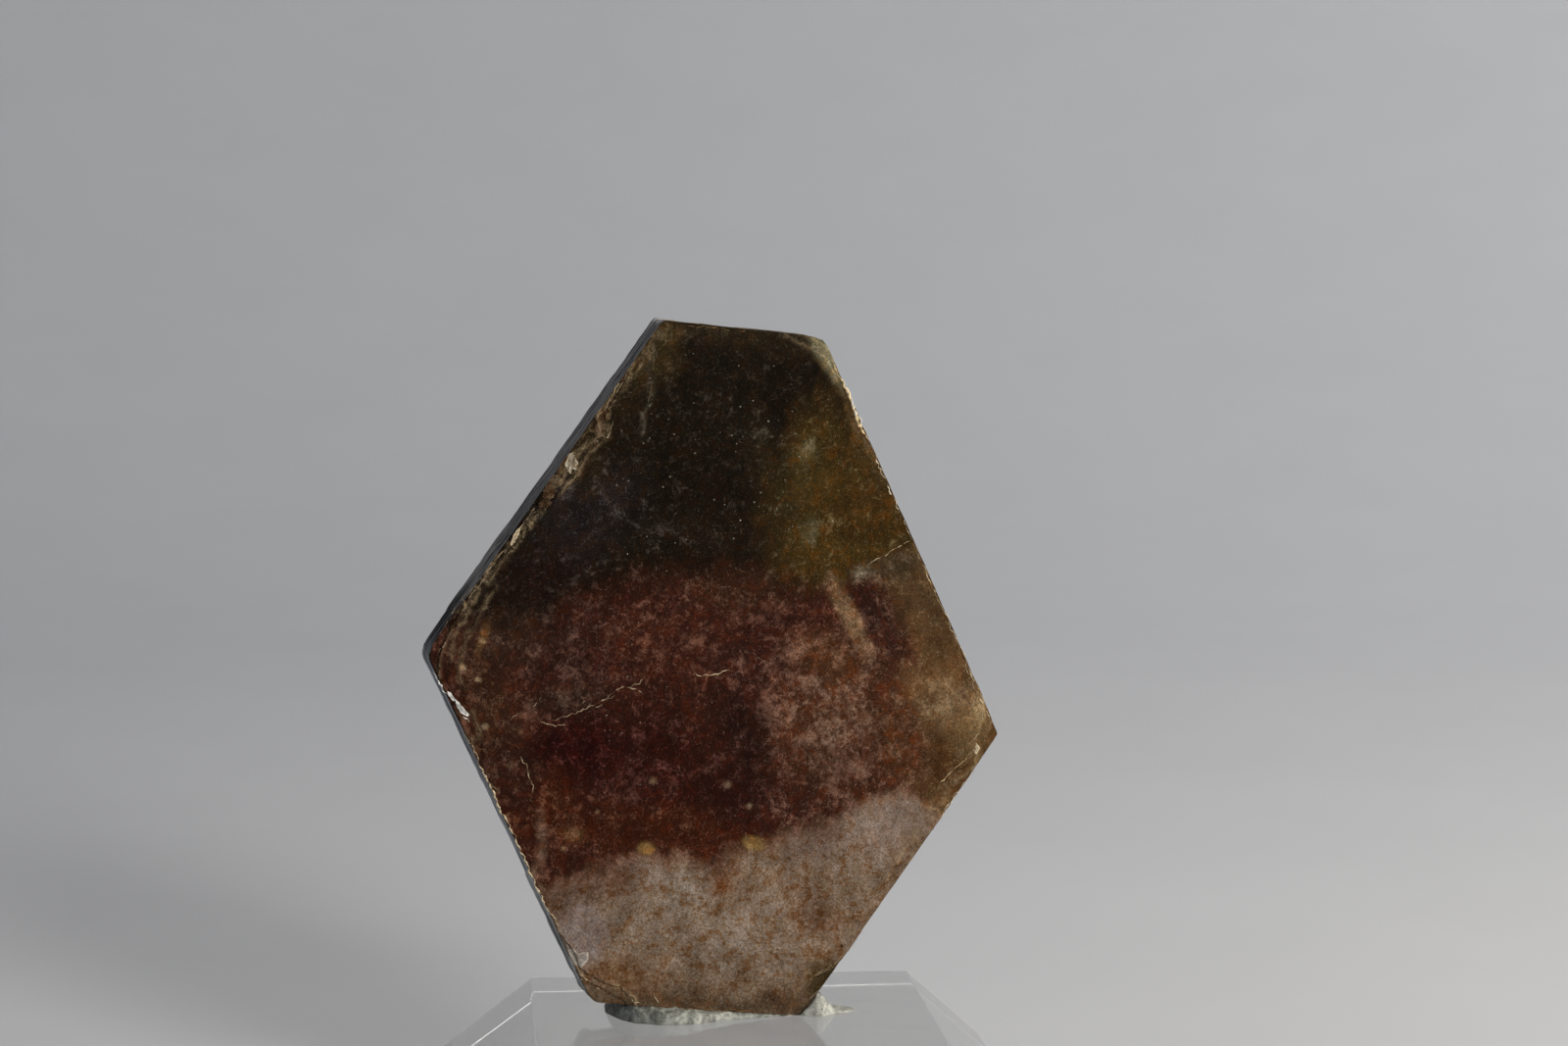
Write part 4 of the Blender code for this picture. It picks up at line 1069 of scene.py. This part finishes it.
def addLip(width, height, colour, broken, line, seed):
    # a low ragged ridge of three points and a hidden keel, drawn along the line
    path, walked, length = walkAlong(line, 0.08, 8)
    along = np.gradient(path, axis=0)
    along /= np.linalg.norm(along, axis=1)[:, None]
    across = np.stack([-along[:, 1], along[:, 0]], 1)
    wander = 0.24 * roughNoise(walked, 0, 1.1, seed, 3) + 0.10 * softNoise(walked, 0, 0.3, seed + 7)
    path += across * (min(width / 0.2, 1) * wander)[:, None]
    taper = np.minimum(1, np.minimum(walked, length - walked) / (0.25 * length) + 0.15)
    fray = 0.55 + 0.55 * roughNoise(walked, 7, 0.35, seed + 3, 3)
    hole = ease(broken - 0.15, broken + 0.1, 0.5 + 0.5 * softNoise(walked, 3, 0.6, seed + 5))
    half = 0.5 * width * taper * fray * (0.12 + 0.88 * hole)
    rise = height * taper * fray * (0.1 + 0.9 * hole)
    base = frontDepth(path)
    ring = []
    for aside, depth in ((-1, base + 0.02), (0.3, base - rise), (1, base + 0.02), (0, base + 0.12)):
        spots = path + across * (aside * half)[:, None]
        ring.append(np.stack([spots[:, 0], depth, spots[:, 1]], 1))
    last = 4 * len(path) - 4
    faces = bandFaces(last, 4) + [(3, 2, 1, 0), tuple(range(last, last + 4))]
    tone = np.array(scraps["colours"][colour]) * (0.8 + 0.4 * fray[:, None])
    return np.stack(ring, 1).reshape(-1, 3), faces, np.repeat(tone, 4, axis=0)


def addFlake(lift, colour, outline, seed):
    # a thin plate with a ragged outline, leaning a little on the face
    loop, walked, _ = walkAlong(outline, 0.07, 16, True)
    count = len(loop)
    loop += 0.05 * np.stack([softNoise(walked, k, 0.22, seed + k) for k in (3, 8)], 1)
    middle = loop.mean(axis=0)
    lean = facing(360 * float(cellValue(seed, 1, 3)))
    # size of the outline, share of the lift and gain of the tone, from the hidden edge to the top
    levels = ((0.94, 0.0, 0.6), (1.0, 0.7, 1.1), (0.93, 1.0, 1.0), (0.6, 0.92, 0.62), (0.05, 0.95, 0.55))
    spots = []
    for scale, share, _ in levels:
        flat = middle + (loop - middle) * scale
        slope = (flat - middle) @ lean / max(np.abs((loop - middle) @ lean).max(), 0.1)
        rise = lift * (0.55 + 0.4 * slope + 0.25 * softNoise(flat[:, 0], flat[:, 1], 0.3, seed + 11))
        depth = frontDepth(flat) - share * np.maximum(rise, 0.03) + 0.03 * (share == 0)
        spots.append(np.stack([flat[:, 0], depth, flat[:, 1]], 1))
    last = (len(levels) - 1) * count
    faces = bandFaces(last, count) + [tuple(reversed(range(count))), tuple(range(last, last + count))]
    spread = np.arange(len(levels) * count)
    grain = np.repeat([gain for _, _, gain in levels], count) * (0.75 + 0.5 * cellValue(spread, spread, seed))
    return np.concatenate(spots), faces, np.array(scraps["colours"][colour]) * grain[:, None]


def paintScraps():
    material, tree = newMaterial("mica_flake")
    grain = addNoise(tree, crystalSpot(tree), 3600.0, 3.0, 0.65)
    gain = addRange(tree, grain, 0.32, 0.68, 0.55, 1.25, "LINEAR")
    colour = addMix(tree, 1.0, addStored(tree, "tone")["Color"], gain, "MULTIPLY")
    finishMaterial(tree, {"Base Color": colour}, scraps, grain)
    return material


def makeScraps():
    for name, kind, add in (("crackLips", "lips", addLip), ("looseFlakes", "flakes", addFlake)):
        vertices, faces, tones = [], [], []
        for seed, values in enumerate(scraps[kind].values(), 300):
            start = sum(len(spots) for spots in vertices)
            spots, corners, tone = add(*values, seed)
            vertices.append(spots)
            faces += [tuple(start + corner for corner in face) for face in corners]
            tones.append(tone)
        made = meshPiece(name, toStand(np.concatenate(vertices)), faces, paintScraps())
        addTone(made, "tone", np.concatenate(tones))
        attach(made, "root")
        print(name + ":", len(faces), "faces")


# putty: a hand-rolled bead pressed under the crystal, in mm on the block's top

putty = {
    "seatGap": 0.04,
    "bedGap": 0.02,
    "columns": 190,
    "rows": 84,
    # across the block: x, front lip y, back lip y, height in front, height behind
    "stations": [
        (-13, 3.4, 6.4, 0.3, 0.5), (-12.5, 2.2, 7.7, 1.1, 1.6), (-11.6, 0.2, 8.6, 1.5, 2.4),
        (-10.2, -1.7, 9.2, 1.5, 2.9), (-8, -2.6, 9.6, 1.4, 2.6), (-6, -2.9, 9.8, 1.25, 2.3),
        (-4, -2.6, 9.7, 1.05, 2.1), (-2.5, -1.9, 9.6, 0.85, 1.9), (-0.8, -1.1, 9.4, 0.65, 1.8),
        (1.2, -0.7, 9.3, 0.5, 1.7), (3.2, -0.3, 9.2, 0.42, 1.8), (5.4, 0.1, 9.1, 0.45, 1.9),
        (6.9, 0.1, 8.6, 0.8, 1.7), (7.8, -0.25, 7.6, 1.3, 1.4), (8.6, -0.5, 6.2, 1.9, 1.2),
        (9.3, -0.3, 5, 1.8, 0.9), (9.8, 0, 4.4, 1.1, 0.6), (10.4, 0.3, 4, 0.45, 0.35),
        (11.4, 0.9, 3.6, 0.25, 0.2), (12.8, 1.6, 3, 0.1, 0.08),
    ],
    "folds": 0.16,
    "crackle": 0.07,
    "creases": 0.22,
    # pale is the putty's own tone; shade is its painted shade with some dirt, and cream its painted light
    "pale": (0.205, 0.214, 0.188),
    "shade": (0.105, 0.113, 0.103),
    "cream": (0.30, 0.30, 0.265),
    "roughness": 0.62,
    "specular": 0.35,
    "bump": (0.9, 0.10),
}


def crystalUnderside(x, y):
    # height of the crystal's lowest surface over each spot, from its tilted and turned outline
    spot, turn = crystalPlace()
    inverse = np.array(turn.to_matrix().inverted())
    origin = np.array(spot) / mm - np.array([0, 0, blockTop / mm])
    heights = np.linspace(0, 8, 81)
    lowest = np.full(x.shape, 1e3)
    for height in heights[::-1]:
        local = np.stack([x - origin[0], y - origin[1], height - origin[2] + 0 * x], -1) @ inverse.T
        inside = (local[..., 1] > -0.1) & (local[..., 1] < crystal["thickness"] + 0.1)
        for degrees, distance in crystal["faceDistances"].items():
            reach = distance + crystal["backSpread"][degrees] * local[..., 1] / crystal["thickness"]
            inside &= local[..., [0, 2]] @ facing(degrees) < reach
        lowest = np.where(inside, height, lowest)
    return lowest


def paintPutty():
    material, tree = newMaterial("mounting_putty_skin")
    spot = addNode(tree, "TexCoord", {})["Object"]
    grain = addNoise(tree, spot, 3200.0, 5.0, 0.75, 0.6)
    wrinkle = addNoise(tree, spot, 1.0, 3.0, 0.6, 0.8, (1100, 900, 900), (0, 0.5, 0.3))
    both = addMath(tree, "MULTIPLY_ADD", grain, 0.4, addMath(tree, "MULTIPLY", wrinkle, 0.6))
    gain = addRange(tree, both, 0.40, 0.60, 0.42, 1.5, "LINEAR")
    colour = addMix(tree, 1.0, addStored(tree, "tone")["Color"], gain, "MULTIPLY")
    finishMaterial(tree, {"Base Color": colour}, putty, both)
    return material


def makePutty():
    table = np.array(putty["stations"])
    columns, rows = putty["columns"], putty["rows"]
    x = np.linspace(table[0, 0], table[-1, 0], columns)
    front, back, low, high = [np.interp(x, table[:, 0], table[:, k])[:, None] for k in range(1, 5)]
    x = x[:, None]
    front = front + 0.16 * roughNoise(x, 0, 1.5, 401, 3)
    back = back + 0.25 * roughNoise(x, 5, 2.4, 403, 3)
    share = 0.5 - 0.5 * np.cos(np.linspace(0, math.pi, rows))
    gx = np.repeat(x, rows, axis=1)
    gy = front + (back - front) * share
    body = low + (high - low) * ease(2.5, 6.5, gy)
    # folds pinched in by fingers, and the fine crackle of the dry skin
    fold = roughNoise(gx * 0.8 + 0.5 * gy, gy * 0.5, 1.9, 411, 4)
    crease = 1 - np.abs(roughNoise(gx * 0.9 - 0.6 * gy, gy * 0.5, 2.1, 421, 2))
    crackle = roughNoise(gx, gy * 1.1, 0.42, 441, 3)
    body = (body * (1 + putty["folds"] * fold + putty["crackle"] * crackle)
            + np.minimum(body, 1.0) * putty["creases"] * (crease ** 10 - 0.15))

    def rounded(value):
        return np.sqrt(np.clip(1 - (1 - np.clip(value, 0, 1)) ** 2, 0, 1))

    body = body * rounded(np.minimum(gy - front, back - gy) / np.minimum(0.9 * body + 0.05, 1.6))
    body = body * rounded(np.minimum(x - x[0], x[-1] - x) / 0.7)
    under = crystalUnderside(gx, gy) - putty["seatGap"]
    pressed = np.clip(np.minimum(body, under), 0.015, None)
    gy = gy + 0.10 * np.minimum(pressed, 1.0) * roughNoise(gx * 1.6, pressed * 2.0, 1.0, 431, 3)

    bottom = blockTop / mm + putty["bedGap"]
    vertices = [np.stack([gx, gy, bottom + rise], -1).reshape(-1, 3) for rise in (pressed, 0 * pressed)]
    count = columns * rows
    faces = []
    for i in range(columns - 1):
        for j in range(rows - 1):
            a, d = i * rows + j, i * rows + j + 1
            faces.append((a, a + rows, d + rows, d))
            faces.append((count + d, count + d + rows, count + a + rows, count + a))
    net = np.arange(count).reshape(columns, rows)
    outline = [*net[:, 0], *net[-1, 1:], *net[-2::-1, -1], *net[0, -2:0:-1]]
    for a, b in zip(outline, outline[1:] + outline[:1]):
        faces.append((a, count + a, count + b, b))

    made = meshPiece("mountingPutty", np.concatenate(vertices) * mm, faces, paintPutty())
    made.data.shade_smooth()
    # painted shade with some dirt: darker towards the left end under the crystal, and in the hollows of the
    # folds
    paintedShadeAndDirt = np.clip(ease(-6.5, -11.0, gx) * 0.95 + 0.2 * ease(0.2, -0.5, fold), 0, 1)[..., None]
    # painted light: paler towards the right end and along the crease ridges
    paintedLight = ease(4.0, 12.0, gx) * 0.55 + 0.35 * ease(0.75, 0.95, crease) * ease(-8, -2, gx)
    paintedLight = np.clip(paintedLight, 0, 1)[..., None]
    pale, shade, cream = [np.array(putty[key]) for key in ("pale", "shade", "cream")]
    colour = ((pale * (1 - paintedShadeAndDirt) + shade * paintedShadeAndDirt) * (1 - paintedLight) + cream * paintedLight).reshape(-1, 3)
    addTone(made, "tone", np.concatenate([colour, colour]))
    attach(made, "root")
    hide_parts("mounting_putty")
    print("putty:", len(faces), "faces")


# block: clear cast acrylic with a broad polished slope round its top

block = {
    "slopeRun": 9.6,                       # mm
    "edgeRadius": 0.22,
    "edgeSegments": 4,
    "tint": (0.985, 0.992, 0.992),
    "index": 1.49,
    "roughness": (0.03, 0.12),             # of the polished sides, low and high
    "underRoughness": 0.6,                 # the underside is finely ground
    "specular": 0.5,
}


def paintAcrylic(name, ground):
    material, tree = newMaterial(name)
    roughness = block["underRoughness"]
    if not ground:
        spot = addNode(tree, "TexCoord", {})["Object"]
        roughness = addRange(tree, addNoise(tree, spot, 180.0, 3.0), 0.3, 0.7, *block["roughness"], "LINEAR")
    values = {"Base Color": block["tint"], "Transmission Weight": 1.0, "IOR": block["index"]}
    finishMaterial(tree, {**values, "Roughness": roughness}, block)
    return material


def makeBlock():
    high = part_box("acrylic_base")[1]
    half, height, run = high[0] / mm, high[2] / mm, block["slopeRun"]
    levels = ((0.0, half), (height - run, half), (height, half - run))
    corners = ((-1, -1), (1, -1), (1, 1), (-1, 1))
    vertices = [(sx * reach, sy * reach, z) for z, reach in levels for sx, sy in corners]
    faces = [(3, 2, 1, 0), (8, 9, 10, 11)] + bandFaces(8, 4)
    made = meshPiece("displayBlock", np.array(vertices) * mm, faces, paintAcrylic("clear_acrylic", False))
    made.data.materials.append(paintAcrylic("ground_acrylic", True))
    for polygon in made.data.polygons:
        polygon.material_index = int(polygon.normal.z < -0.9)
    edges = made.modifiers.new("polishedEdges", "BEVEL")
    edges.width = block["edgeRadius"] * mm
    edges.segments = block["edgeSegments"]
    edges.limit_method = "ANGLE"
    made.visible_shadow = False            # the lamps reach the paper through the clear block
    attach(made, "root")
    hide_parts("acrylic_base")
    print("block made")


makeCamera()
makeStudio()
makeBlock()
makePutty()
makeCrystal()
makeScraps()
